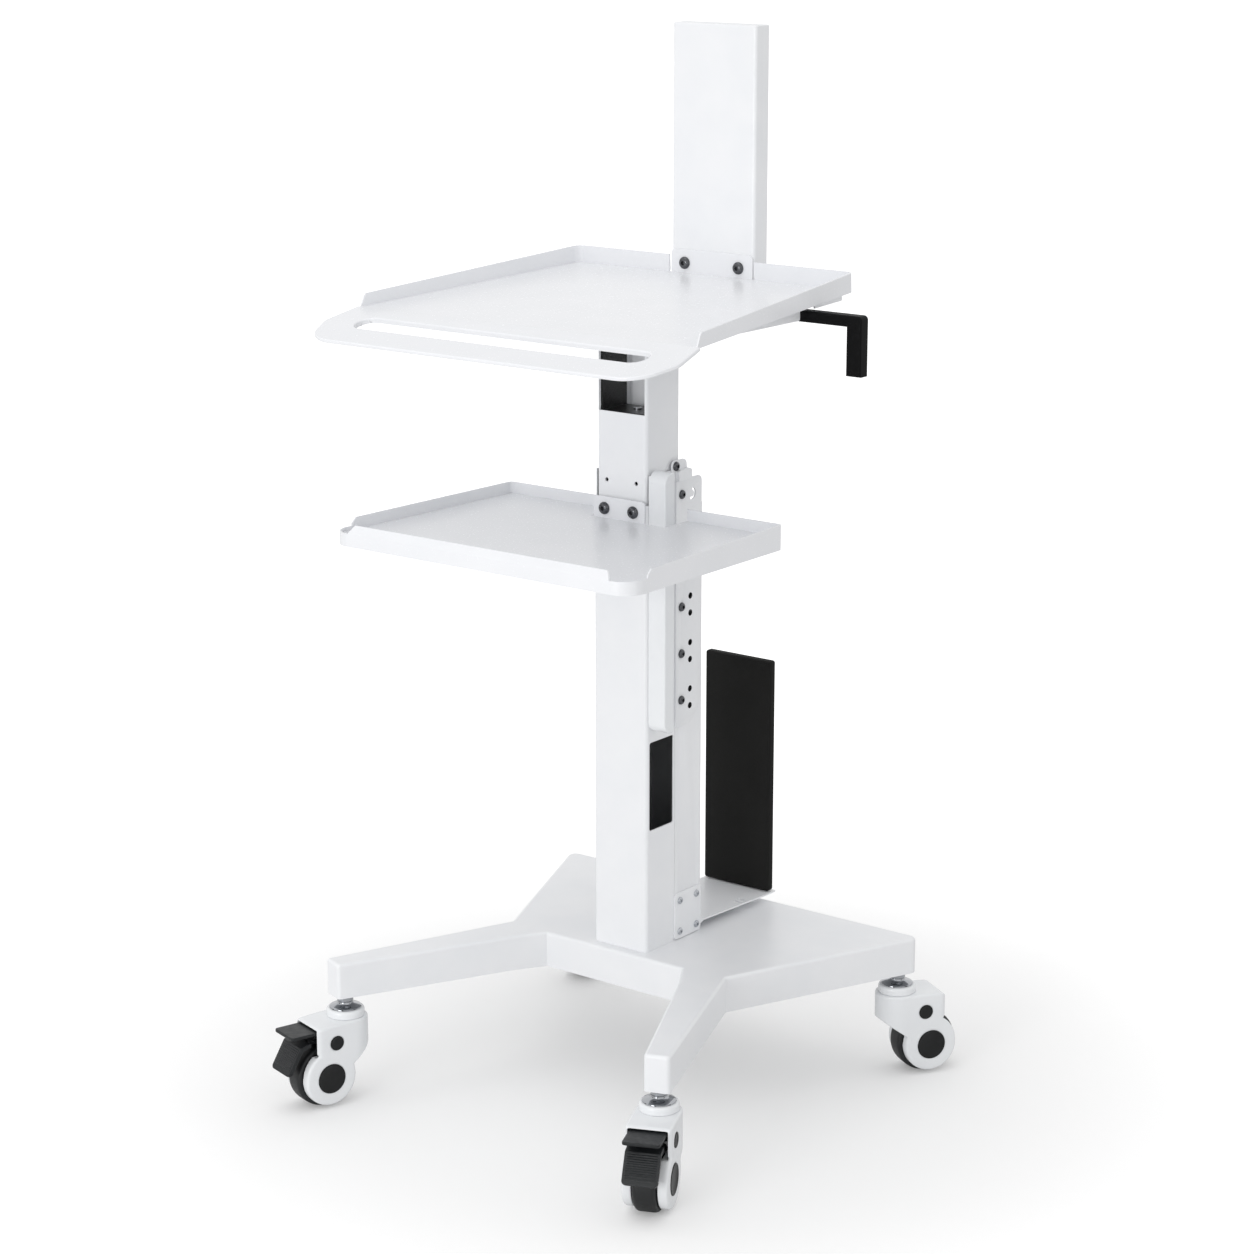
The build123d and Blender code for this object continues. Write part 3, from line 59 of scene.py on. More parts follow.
# %% Place the camera
LOOK_AT = Vector((0.6, -42.4, 557.7)) * MM
AZIMUTH = radians(37.4)
ELEVATION = radians(14.4)
DISTANCE = 3579.2 * MM
PHOTO_SIDE = 1254
FOCAL_PIXELS = 3100

camera_data = bpy.data.cameras.new("camera")
camera_data.sensor_width = 36
camera_data.lens = FOCAL_PIXELS / PHOTO_SIDE * camera_data.sensor_width
camera_data.clip_end = 200
camera = bpy.data.objects.new("camera", camera_data)
scene.collection.objects.link(camera)
back = Vector((sin(AZIMUTH) * cos(ELEVATION), -cos(AZIMUTH) * cos(ELEVATION), sin(ELEVATION)))
right = Vector((cos(AZIMUTH), sin(AZIMUTH), 0))
up = back.cross(right)
turn = Matrix((right, up, back)).transposed()
camera.matrix_world = Matrix.Translation(LOOK_AT + back * DISTANCE) @ turn.to_4x4()
scene.camera = camera
print("camera at", tuple(round(v, 3) for v in camera.location))

# %% [markdown]
# ## Colours and nodes
# A hex colour is how a screen shows it, while the shader works in linear light, so one function turns each colour.
# A second one adds a shader node: its properties by name, and its sockets as values or links.

# %% Two small helpers for materials


def linear(hex_colour):
    """Turns "#rrggbb" as seen on a screen to linear red, green, blue and alpha."""
    channels = [int(hex_colour[i:i + 2], 16) / 255 for i in (1, 3, 5)]
    return [c / 12.92 if c <= 0.04045 else ((c + 0.055) / 1.055) ** 2.4 for c in channels] + [1.0]


def put(tree, kind, sockets=None, **settings):
    """Adds a node. A socket is given a value, or another node's output socket to link to it."""
    node = tree.nodes.new(kind)
    for name, value in settings.items():
        setattr(node, name, value)
    for name, value in (sockets or {}).items():
        if isinstance(value, bpy.types.NodeSocket):
            tree.links.new(value, node.inputs[name])
        else:
            node.inputs[name].default_value = value
    return node


print("white turned to linear:", linear("#ffffff"))

# %% [markdown]
# ## The floor and the light
# The stand was photographed on white. The floor is a large pale grey plane, so that it throws less light up at the
# base. To the camera it is lifted to white, more so away from the stand, and it still takes a soft shadow near it.
# The sky is white too, and it lights from all sides at a lower level, so a white coat doesn't clip. A large soft lamp
# stands low in front, because the photograph shows the mast lit under the tray, and a second one hangs overhead.

# %% Build the stage
# Lengths in metres. The lift is the light that the floor adds towards the camera, near the stand and away from it.
FLOOR_SIDE = 80
REACH_NEAR, REACH_FAR = 0.35, 1.25
LIFT_NEAR, LIFT_FAR = 0.20, 0.60
SKY_LEVEL = 0.82

bpy.ops.object.select_all(action="DESELECT")
bpy.ops.mesh.primitive_plane_add(size=FLOOR_SIDE)
floor = bpy.context.active_object
floor.name = "studio_floor"
floor_finish = bpy.data.materials.new("studio_floor_paper")
floor_finish.use_nodes = True
tree = floor_finish.node_tree
tree.nodes.clear()
path = put(tree, "ShaderNodeLightPath")
place = put(tree, "ShaderNodeTexCoord")
away = put(tree, "ShaderNodeVectorMath", {0: place.outputs["Object"]}, operation="LENGTH")
reach = put(tree, "ShaderNodeMapRange", {"Value": away.outputs["Value"], "From Min": REACH_NEAR,
                                         "From Max": REACH_FAR, "To Min": LIFT_NEAR, "To Max": LIFT_FAR},
            interpolation_type="SMOOTHSTEP")
lift = put(tree, "ShaderNodeMath", {0: path.outputs["Is Camera Ray"], 1: reach.outputs[0]},
           operation="MULTIPLY")
paper = put(tree, "ShaderNodeBsdfDiffuse", {"Color": linear("#e7e7e7")})
glow = put(tree, "ShaderNodeEmission", {"Color": linear("#ffffff"), "Strength": lift.outputs[0]})
both = put(tree, "ShaderNodeAddShader", {0: paper.outputs[0], 1: glow.outputs[0]})
put(tree, "ShaderNodeOutputMaterial", {"Surface": both.outputs[0]})
floor.data.materials.append(floor_finish)

world = bpy.data.worlds.new("studio")
scene.world = world
world.use_nodes = True
tree = world.node_tree
tree.nodes.clear()
path = put(tree, "ShaderNodeLightPath")
seen = put(tree, "ShaderNodeMath", {0: path.outputs["Is Camera Ray"], 1: path.outputs["Is Glossy Ray"]},
           operation="MAXIMUM")
seen = put(tree, "ShaderNodeMath", {0: seen.outputs[0], 1: path.outputs["Is Transmission Ray"]},
           operation="MAXIMUM")
level = put(tree, "ShaderNodeMapRange", {"Value": seen.outputs[0], "To Min": SKY_LEVEL, "To Max": 1.0})
sky = put(tree, "ShaderNodeBackground", {"Color": linear("#ffffff"), "Strength": level.outputs[0]})
put(tree, "ShaderNodeOutputWorld", {"Surface": sky.outputs[0]})


def soft_lamp(name, place, aim, side, power):
    """A square softbox that looks from one point to another. Lengths in metres, power in watts."""
    lamp_data = bpy.data.lights.new(name, "AREA")
    lamp_data.size = side
    lamp_data.energy = power
    lamp = bpy.data.objects.new(name, lamp_data)
    scene.collection.objects.link(lamp)
    lamp.location = place
    lamp.rotation_euler = (Vector(aim) - Vector(place)).to_track_quat("-Z", "Y").to_euler()


soft_lamp("key_light", place=(0.15, -4.5, 1.0), aim=(0, 0, 0.75), side=2.0, power=55)
soft_lamp("top_light", place=(-0.3, -0.6, 4.2), aim=(0, 0, 0.3), side=2.6, power=14)

# %% [markdown]
# Chrome shows only what stands round it, and in a white room it would look like more white paint. Photographers
# stand black cards beside it. Three stand here, one left, one right and one in front. Only glossy rays see them, so
# they take no light from the coats and don't show in the picture.

# %% Stand the black cards
card_paper = bpy.data.materials.new("black_card")
card_paper.use_nodes = True
card_paper.node_tree.nodes.clear()
ink = put(card_paper.node_tree, "ShaderNodeBsdfDiffuse", {"Color": linear("#0a0a0a")})
put(card_paper.node_tree, "ShaderNodeOutputMaterial", {"Surface": ink.outputs[0]})
CARDS = {"card_left": (-2.2, -1.7, 0.5), "card_right": (2.6, 0.6, 0.5), "card_front": (0.9, -3.6, 0.35)}
CARD_WIDTH, CARD_HEIGHT = 0.7, 2.4
for card_name, (x, y, z) in CARDS.items():
    bpy.ops.object.select_all(action="DESELECT")
    bpy.ops.mesh.primitive_plane_add(size=1, location=(x, y, z), rotation=(pi / 2, 0, atan2(y, x) + pi / 2))
    card = bpy.context.active_object
    card.name = card_name
    card.scale = (CARD_WIDTH, CARD_HEIGHT, 1)
    card.data.materials.append(card_paper)
    card.visible_camera = card.visible_diffuse = card.visible_shadow = card.visible_transmission = False
print("cards:", list(CARDS))

# %% [markdown]
# ## Finishes
# Each finish is named for what the real piece is made of. Powder coat is a baked plastic film with a fine orange
# peel, a moulded part has the grain of its tool, and plated steel shows a thin, bright or dark metal. One function
# lays out what they share: a base colour that drifts a little from place to place, and a fine grain, given by its
# real size in millimetres, that stirs the roughness and raises the bump.

# %% Make the finishes
DRIFT_SCALE = 18.0  # waves of the slow colour drift to a metre


def finish(name, colour, rough, grain_mm, depth_mm, drift="#808080", metallic=0.0, rough_drift=0.05, share=0.0,
           stretch=(1, 1, 1), ior=None, specular=None):
    """A procedural finish. drift is a second colour, share how far the surface wanders towards it."""
    made = bpy.data.materials.new(name)
    made.use_nodes = True
    tree = made.node_tree
    tree.nodes.clear()
    where = put(tree, "ShaderNodeTexCoord")
    aim = put(tree, "ShaderNodeMapping", {"Vector": where.outputs["Object"], "Scale": stretch})
    wide = put(tree, "ShaderNodeTexNoise", {"Vector": where.outputs["Object"], "Scale": DRIFT_SCALE,
                                           "Detail": 3.0})
    grain = put(tree, "ShaderNodeTexNoise", {"Vector": aim.outputs[0], "Scale": 1 / (grain_mm * MM), "Detail": 2.0})
    tint = put(tree, "ShaderNodeMapRange", {"Value": wide.outputs["Fac"], "From Min": 0.35, "From Max": 0.65,
                                            "To Max": share})
    blend = put(tree, "ShaderNodeMix", {"Factor": tint.outputs[0]}, data_type="RGBA")
    blend.inputs[6].default_value = linear(colour)
    blend.inputs[7].default_value = linear(drift)
    gloss = put(tree, "ShaderNodeMapRange", {"Value": grain.outputs["Fac"], "From Min": 0.3, "From Max": 0.7,
                                             "To Min": rough - rough_drift, "To Max": rough + rough_drift})
    peel = put(tree, "ShaderNodeBump", {"Height": grain.outputs["Fac"], "Distance": depth_mm * MM, "Strength": 1.0})
    skin = put(tree, "ShaderNodeBsdfPrincipled", {"Base Color": blend.outputs[2], "Roughness": gloss.outputs[0],
                                                  "Normal": peel.outputs[0], "Metallic": metallic})
    if ior:
        skin.inputs["IOR"].default_value = ior
    if specular is not None:
        skin.inputs["Specular IOR Level"].default_value = specular
    put(tree, "ShaderNodeOutputMaterial", {"Surface": skin.outputs[0]})
    return made


# Polyester powder coat on sheet steel: a cool white film with a shallow orange peel about 2 mm across.
powder_white = finish("powder_coat_white", "#eff0f2", 0.34, 2.0, 0.006, "#e9ebee", share=0.5, ior=1.5)
# The tray floors are the same coat, laid flat and a little glossier, so they mirror what stands on them.
powder_tray = finish("powder_coat_tray", "#eeeff2", 0.26, 2.4, 0.0015, "#e9ebee", share=0.4, ior=1.45,
                     rough_drift=0.015)
# Black powder coat on the bracket inside the mast and on the gas cylinder.
finish("powder_coat_black", "#0e0e0f", 0.3, 1.2, 0.01, "#141415", share=0.5, ior=1.5)
# Grey sheet under the base, where the film is thin.
finish("powder_coat_grey", "#c9cbcd", 0.45, 1.6, 0.015, "#bdbfc2", share=0.6, ior=1.5)
# Glossy ABS, as moulded in a polished tool.
finish("moulded_abs_white", "#eceef0", 0.2, 6.0, 0.01, "#e5e7ea", share=0.4, ior=1.53)
# Glass-filled nylon with an eroded tool grain, black.
finish("moulded_nylon_black", "#09090a", 0.5, 0.7, 0.02, "#0e0e0f", share=0.5, specular=0.1)
# The hub caps are pressed from the same nylon in a smoother tool.
finish("moulded_cap_black", "#111213", 0.4, 0.7, 0.012, "#17181a", share=0.5, specular=0.3)
# The pedals are nylon too. Their grain is drawn out sideways into fine wavy ribs, so that a shoe grips them.
finish("moulded_nylon_slate", "#1a1c1e", 0.42, 1.5, 0.5, "#222527", share=0.5, specular=0.35,
       stretch=(0.14, 0.14, 1))
# Acetal for the hidden guides and the wheel cores.
finish("moulded_acetal_grey", "#54575a", 0.4, 1.0, 0.015, "#4b4e51", share=0.5, ior=1.48)
# Closed-cell rubber foam on the host pad, matt with a fine skin.
finish("foam_rubber_black", "#121211", 0.75, 1.1, 0.04, "#181817", share=0.5, specular=0.22)
# Thermoplastic rubber tread, dark grey.
finish("tread_rubber_grey", "#1b1c1d", 0.45, 0.9, 0.02, "#232527", share=0.6, specular=0.4)
# Chrome plate over turned steel.
finish("chrome_plate", "#adafb3", 0.08, 1.5, 0.002, "#a2a5a9", metallic=1.0, share=0.4,
       rough_drift=0.03)
# Bright zinc plate, with its faint cloudy film.
finish("zinc_plate", "#c3c6ca", 0.3, 1.0, 0.004, "#aeb2b8", metallic=1.0, share=0.7)
# Dark nickel on the button bolts.
finish("dark_nickel_plate", "#5c5d60", 0.2, 1.0, 0.004, "#5c5d60", metallic=1.0, share=0.6)
# Inside a tube the powder doesn't reach, so the phosphated steel there stays bare; its dark grey is also painted
# shade inside the column.
steel_bare_painted_shade = finish("phosphated_steel_painted_shade", "#9a9c9f", 0.5, 1.2, 0.01, "#8b8d90", share=0.6, ior=1.5)
# Milled steel of the foot plate, with cutter marks along one way.
finish("milled_steel", "#8c8e91", 0.4, 0.8, 0.006, "#7c7e81", metallic=1.0, share=0.5,
       stretch=(0.1, 1, 1))
print("finishes:", len(bpy.data.materials))

# %% [markdown]
# The mast is coated only where it can leave the column. Its lower end, which always runs inside on the guide, is
# bare steel with grease on it. Its near-black colour there is painted shade inside the column. So the mast gets a
# copy of the coat in which the colour changes at that height.

# %% Coat the mast down to its guide
BARE_AND_SHADED_BELOW = 592.0
# Near-black bare steel: painted shade inside the column.
GREASED_STEEL_AND_PAINTED_SHADE = "#1f2021"
mast_coat = powder_white.copy()
mast_coat.name = "powder_coat_white_mast"
tree = mast_coat.node_tree
skin = next(node for node in tree.nodes if node.type == "BSDF_PRINCIPLED")
coat_colour = skin.inputs["Base Color"].links[0].from_socket
where = put(tree, "ShaderNodeTexCoord")
apart = put(tree, "ShaderNodeSeparateXYZ", {0: where.outputs["Object"]})
below = put(tree, "ShaderNodeMath", {0: apart.outputs["Z"], 1: BARE_AND_SHADED_BELOW * MM}, operation="LESS_THAN")
choose = put(tree, "ShaderNodeMix", {"Factor": below.outputs[0]}, data_type="RGBA")
tree.links.new(coat_colour, choose.inputs[6])
# Below that height the colour is painted shade on the bare steel.
choose.inputs[7].default_value = linear(GREASED_STEEL_AND_PAINTED_SHADE)
tree.links.new(choose.outputs[2], skin.inputs["Base Color"])
print("the mast is bare below", BARE_AND_SHADED_BELOW)

# %% [markdown]
# ## Which finish goes on which solid
# A table gives each CAD node its finish. Names that repeat for the four casters are matched by their ending.

# %% Assign the finishes
FINISH_OF = {
    "powder_coat_white": ["base_frame", "column_front", "column_rear", "tray_support", "rear_post",
                          "side_plate_left", "side_plate_right", "host_bracket", "clamp_block"],
    "powder_coat_white_mast": ["inner_column"],
    "powder_coat_tray": ["upper_tray", "lower_tray"],
    "powder_coat_black": ["release_bracket", "gas_spring_cylinder"],
    "powder_coat_grey": ["base_bottom_plate"],
    "moulded_abs_white": ["cable_cover", "_housing", "_swivel_ring"],
    "moulded_nylon_black": ["release_lever"],
    "moulded_cap_black": ["_caps"],
    "moulded_nylon_slate": ["_lock_pedal", "_release_pedal"],
    "moulded_acetal_grey": ["guide_collar", "slide_shoe", "_wheel_core"],
    "foam_rubber_black": ["host_pad"],
    "tread_rubber_grey": ["_tyre"],
    "chrome_plate": ["gas_spring_rod", "_stem"],
    "zinc_plate": ["column_foot_bolts", "lever_pivot", "host_bracket_screws", "_axle"],
    "dark_nickel_plate": ["post_bolts", "lower_tray_bolts", "side_plate_screws"],
    "milled_steel": ["column_foot_plate"],
}
finish_by_node = {}
for material_name, endings in FINISH_OF.items():
    for node_name in frame["nodes"]:
        if any(node_name == ending or (ending[0] == "_" and node_name.endswith(ending)) for ending in endings):
            finish_by_node[node_name] = bpy.data.materials[material_name]


def paint(piece, node_name):
    """Gives a piece its node's finish and nothing else."""
    piece.data.materials.clear()
    piece.data.materials.append(finish_by_node[node_name])


for node_name, solid in frame["nodes"].items():
    paint(solid, node_name)
print("nodes with a finish:", len(finish_by_node))

# %% [markdown]
# ## Eased edges
# The CAD solids have knife edges where the real sheet is folded, filed and coated. A soft edge is what catches the
# light, so each solid that shows gets a copy whose loose triangles are merged, whose flat faces are dissolved into
# one, and whose sharp edges are then bevelled by the radius of the real film, fold or tool.

# %% Copy a solid and ease its edges
WELD = 0.01 * MM
FLAT = radians(0.6)
SHARP = radians(38)
body_of = {n: b for b, members in frame["record"]["behaviour"]["bodies"].items() for n in members}


def merged_copy(node_name, piece_name):
    """A copy of a CAD node as one closed skin, its flat faces whole."""
    piece = bpy.data.objects.new(piece_name, frame["nodes"][node_name].data.copy())
    scene.collection.objects.link(piece)
    bpy.ops.object.select_all(action="DESELECT")
    piece.select_set(True)
    bpy.context.view_layer.objects.active = piece
    if piece.data.has_custom_normals:
        bpy.ops.mesh.customdata_custom_splitnormals_clear()
    bpy.ops.object.mode_set(mode="EDIT")
    bpy.ops.mesh.select_all(action="SELECT")
    bpy.ops.mesh.remove_doubles(threshold=WELD)
    bpy.ops.mesh.select_all(action="SELECT")
    bpy.ops.mesh.dissolve_limited(angle_limit=FLAT)
    bpy.ops.object.mode_set(mode="OBJECT")
    return piece


def apply_all(piece):
    """Applies the piece's modifiers in order."""
    bpy.ops.object.select_all(action="DESELECT")
    piece.select_set(True)
    bpy.context.view_layer.objects.active = piece
    for modifier in list(piece.modifiers):
        bpy.ops.object.modifier_apply(modifier=modifier.name)


def dress(piece, node_name):
    """Gives a piece its node's finish and body, and hides the node."""
    paint(piece, node_name)
    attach(piece, body_of[node_name])
    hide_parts(node_name)


# In the trays the bevel leaves some faces without area, so their points are welded over a wider gap.
SLIVERED = ("upper_tray", "lower_tray")
SLIVER = 0.03 * MM


def eased(node_name, radius_mm, steps):
    """Replaces a CAD node by a copy with eased edges."""
    piece = merged_copy(node_name, node_name + "_eased")
    bevel = piece.modifiers.new("eased_edge", "BEVEL")
    bevel.width = radius_mm * MM
    bevel.segments = steps
    bevel.limit_method = "ANGLE"
    bevel.angle_limit = SHARP
    bevel.use_clamp_overlap = True
    bevel.miter_outer = "MITER_ARC"
    apply_all(piece)
    if node_name in SLIVERED:
        bpy.ops.object.mode_set(mode="EDIT")
        bpy.ops.mesh.select_all(action="SELECT")
        bpy.ops.mesh.remove_doubles(threshold=SLIVER)
        bpy.ops.mesh.dissolve_degenerate(threshold=SLIVER)
        bpy.ops.object.mode_set(mode="OBJECT")
    level = piece.modifiers.new("flat_faces", "WEIGHTED_NORMAL")
    level.keep_sharp = True
    bpy.ops.object.shade_smooth_by_angle(angle=SHARP)
    apply_all(piece)
    dress(piece, node_name)
    return piece


# Each solid's edge radius in millimetres, and the steps of its bevel.
EASED = {
    "base_frame": (1.2, 2), "column_front": (0.5, 2), "column_rear": (0.5, 2), "inner_column": (0.4, 2),
    "upper_tray": (0.5, 2), "tray_support": (0.5, 2), "lower_tray": (0.5, 2), "rear_post": (0.5, 2),
    "side_plate_left": (0.4, 2), "side_plate_right": (0.4, 2), "host_bracket": (0.4, 2), "clamp_block": (0.7, 2),
    "cable_cover": (0.8, 3), "release_bracket": (0.4, 2), "release_lever": (1.2, 3),
    "side_plate_screws": (0.25, 2), "post_bolts": (0.3, 2), "lower_tray_bolts": (0.3, 2),
    "host_bracket_screws": (0.2, 2),
}
eased_piece = {}
for node_name, (radius, steps) in EASED.items():
    piece = eased_piece[node_name] = eased(node_name, radius, steps)
    print(piece.name, "faces", len(piece.data.polygons))

# %% [markdown]
# ## The hem of the pull handle's slot
# Fingers go through the slot, so its edge is folded down. The lower edge of the slot's wall is drawn down into a
# strip, and the strip is given the thickness of the sheet, away from the opening. The tray tilts, so a line fitted
# through the wall's points tells its lower edge from its upper one.

# %% Fold the slot's hem
SLOT_X, SLOT_Y = 206.0, (-292.0, -247.0)
HEM_FALL, HEM_SHEET = 2.8, 1.2
UPRIGHT = 0.25
net = bmesh.new()
net.from_mesh(eased_piece["upper_tray"].data)


def in_slot(face):
    """True for a face of the slot's upright wall."""
    x, y, z = face.calc_center_median() / MM
    return abs(x) < SLOT_X and SLOT_Y[0] < y < SLOT_Y[1] and abs(face.normal.z) < UPRIGHT


bmesh.ops.delete(net, geom=[face for face in net.faces if not in_slot(face)], context="FACES")
wall = list(net.faces)
mean_y = sum(v.co.y for v in net.verts) / len(net.verts)
mean_z = sum(v.co.z for v in net.verts) / len(net.verts)
rise = (sum((v.co.y - mean_y) * (v.co.z - mean_z) for v in net.verts)
        / sum((v.co.y - mean_y) ** 2 for v in net.verts))
lower_rim = [edge for edge in net.edges if edge.is_boundary
             and all(v.co.z - mean_z < rise * (v.co.y - mean_y) for v in edge.verts)]
strip = bmesh.ops.extrude_edge_only(net, edges=lower_rim)["geom"]
drawn = [part for part in strip if isinstance(part, bmesh.types.BMVert)]
bmesh.ops.translate(net, vec=(0, 0, -HEM_FALL * MM), verts=drawn)
bmesh.ops.delete(net, geom=wall, context="FACES")
hem = bpy.data.objects.new("handle_slot_hem", bpy.data.meshes.new("handle_slot_hem"))
net.to_mesh(hem.data)
net.free()
scene.collection.objects.link(hem)
sheet = hem.modifiers.new("hem_sheet", "SOLIDIFY")
sheet.thickness = HEM_SHEET * MM
sheet.offset = -1
apply_all(hem)
bpy.ops.object.shade_smooth_by_angle(angle=SHARP)
hem.data.materials.append(powder_tray)
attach(hem, body_of["upper_tray"])
print("hem: faces", len(hem.data.polygons))

# %% [markdown]
# ## Adjustment holes in the accessory plates
# Each plate has a row of open holes for moving its fittings up and down, and an arc slot for turning one. A cutter
# is made for each: a cylinder for a hole, and for the slot a small rectangle spun round the pivot, with a cylinder
# at each end. The cutters reach through the column's wall, so that the dark inside shows.

# %% Cut the holes and the arc slot
# Millimetres and degrees. Two holes stand above and below the height of each bolt, and the cutters run from
# CUT_MIDDLE by half of CUT_DEPTH each way.
HOLE_RADIUS = 3.8
HOLE_Y = 26.5
HOLE_RISE = 10.2
BOLT_Z = (465.5, 521.5, 577.5)
HOLE_PLACES = [(HOLE_Y, z + way * HOLE_RISE) for z in BOLT_Z for way in (1, -1)]
ARC_Y, ARC_Z, ARC_RADIUS, ARC_HALF = 28.9, 708.6, 5.6, 1.7
ARC_START, ARC_SWEEP = 68, 182
CUT_MIDDLE, CUT_DEPTH = 37.0, 14.0
CYLINDER_SIDES, ARC_STEPS = 40, 24


def cylinder_cutter(radius, y, z, side):
    """A cylinder along X through one side of the column, in millimetres."""
    bpy.ops.object.select_all(action="DESELECT")
    bpy.ops.mesh.primitive_cylinder_add(vertices=CYLINDER_SIDES, radius=radius * MM, depth=CUT_DEPTH * MM,
                                        location=(side * CUT_MIDDLE * MM, y * MM, z * MM), rotation=(0, pi / 2, 0))
    return bpy.context.active_object


def arc_cutter(side):
    """A rectangle that stands in the slot's section, spun round the pivot."""
    bpy.ops.object.select_all(action="DESELECT")
    bpy.ops.mesh.primitive_plane_add(size=1, location=(side * CUT_MIDDLE * MM, ARC_Y * MM, ARC_Z * MM))
    cutter = bpy.context.active_object
    cutter.scale = (CUT_DEPTH * MM, 2 * ARC_HALF * MM, 1)
    bpy.ops.object.transform_apply(location=False, rotation=False, scale=True)
    bpy.ops.object.mode_set(mode="EDIT")
    bpy.ops.mesh.select_all(action="SELECT")
    bpy.ops.transform.translate(value=(0, ARC_RADIUS * MM, 0))
    bpy.ops.transform.rotate(value=-radians(ARC_START), orient_axis="X", center_override=cutter.location)
    bpy.ops.mesh.spin(steps=ARC_STEPS, angle=radians(ARC_SWEEP), center=cutter.location, axis=(1, 0, 0))
    bpy.ops.mesh.select_all(action="SELECT")
    bpy.ops.mesh.normals_make_consistent(inside=False)
    bpy.ops.object.mode_set(mode="OBJECT")
    return cutter


def cut_away(piece, cutters):
    """Joins copies of the cutters into one tool and subtracts it from a piece."""
    bpy.ops.object.select_all(action="DESELECT")
    for cutter in cutters:
        cutter.select_set(True)
    bpy.context.view_layer.objects.active = cutters[0]
    bpy.ops.object.duplicate()
    bpy.ops.object.join()
    tool = bpy.context.active_object
    cut = piece.modifiers.new("cut", "BOOLEAN")
    cut.operation = "DIFFERENCE"
    cut.solver = "EXACT"
    cut.use_self = True
    cut.object = tool
    apply_all(piece)
    bpy.data.objects.remove(tool)


cutters = {}
for side in (1, -1):
    cutters[side] = [cylinder_cutter(HOLE_RADIUS, y, z, side) for y, z in HOLE_PLACES]
    cutters[side] += [arc_cutter(side)]
    for turn in (ARC_START, ARC_START + ARC_SWEEP):
        y, z = ARC_Y + ARC_RADIUS * cos(radians(turn)), ARC_Z + ARC_RADIUS * sin(radians(turn))
        cutters[side] += [cylinder_cutter(ARC_HALF, y, z, side)]
CUT_SIDES = {"side_plate_right": (1,), "side_plate_left": (-1,), "column_rear": (1, -1)}
for node_name, sides in CUT_SIDES.items():
    cut_away(eased_piece[node_name], [cutter for side in sides for cutter in cutters[side]])
    print(node_name, "cut, faces", len(eased_piece[node_name].data.polygons))
for cutter in cutters[1] + cutters[-1]:
    bpy.data.objects.remove(cutter)

# %% [markdown]
# The powder coat ends a little way inside the lower column. The faces that look at the column's middle get the bare
# steel instead, whose darker colour paints the shade inside the column, so the cable opening in its side looks into
# the dark.

# %% Bare steel and painted shade inside the column
INNER_X, INNER_Y = 37.2, 56.0  # a little more than half the room inside, in millimetres
for node_name in ("column_front", "column_rear"):
    piece = eased_piece[node_name]
    piece.data.materials.append(steel_bare_painted_shade)
    for face in piece.data.polygons:
        x, y, z = face.center
        inside = abs(x) < INNER_X * MM and abs(y) < INNER_Y * MM
        if inside and face.normal.x * x + face.normal.y * y < 0:
            face.material_index = 1
    print(node_name, "bare faces", sum(face.material_index for face in piece.data.polygons))

# %% [markdown]
# The adjustment holes are plugged while the coat is baked, so that a screw still runs in them. Their walls stay bare,
# and their near-black colour is painted shade in the holes.

# %% Painted shade on the walls of the adjustment holes
# Near-black: painted shade in the holes, on their bare walls.
hole_wall_painted_shade = finish("bare_hole_wall_painted_shade", "#232425", 0.6, 1.2, 0.004, "#1c1d1e", share=0.5, specular=0.2)
ACROSS, MARGIN = 0.2, 0.1
for node_name in CUT_SIDES:
    piece = eased_piece[node_name]
    piece.data.materials.append(hole_wall_painted_shade)
    last_slot = len(piece.data.materials) - 1
    for face in piece.data.polygons:
        x, y, z = face.center / MM
        near = any(hypot(y - hole_y, z - hole_z) < HOLE_RADIUS + MARGIN for hole_y, hole_z in HOLE_PLACES)
        if near and abs(face.normal.x) < ACROSS:
            face.material_index = last_slot
    print(node_name, "hole wall faces", sum(face.material_index == last_slot for face in piece.data.polygons))

# %% [markdown]
# ## The moulded pieces
# A housing or a pedal comes out of its tool with every corner rounded by a millimetre or two, also where three faces
# meet, which a bevel does badly. So the copy is covered with an even skin of small squares, the squares are relaxed,
# which rounds what is sharp and leaves flat faces flat, and then the faces that flat areas don't need are taken away.

# %% Round the moulded pieces
# The side of the skin's squares in millimetres, the rounds of relaxing, and the share of the faces that is kept.
MOULDED = {"_housing": (0.75, 16, 0.3), "_lock_pedal": (0.4, 4, 0.35), "_release_pedal": (0.5, 10, 0.4)}
CORNERS = ("front_left", "front_right", "rear_left", "rear_right")


for node_name in frame["nodes"]:
    for ending, (square_mm, rounds, keep) in MOULDED.items():
        if not node_name.endswith(ending):
            continue
        piece = merged_copy(node_name, node_name + "_moulding")
        skin = piece.modifiers.new("even_skin", "REMESH")
        skin.mode = "VOXEL"
        skin.voxel_size = square_mm * MM
        relax = piece.modifiers.new("tool_radius", "SMOOTH")
        relax.factor = 0.5
        relax.iterations = rounds
        fewer = piece.modifiers.new("fewer_faces", "DECIMATE")
        fewer.ratio = keep
        apply_all(piece)
        bpy.ops.object.shade_smooth()
        dress(piece, node_name)
        print(piece.name, "faces", len(piece.data.polygons))

# %% [markdown]
# Each housing's round cheeks are drawn in towards the axle by a few hundredths, so that the tyre stands proud of
# them all round. The share fades out above the axle, where the cheeks meet the deck.

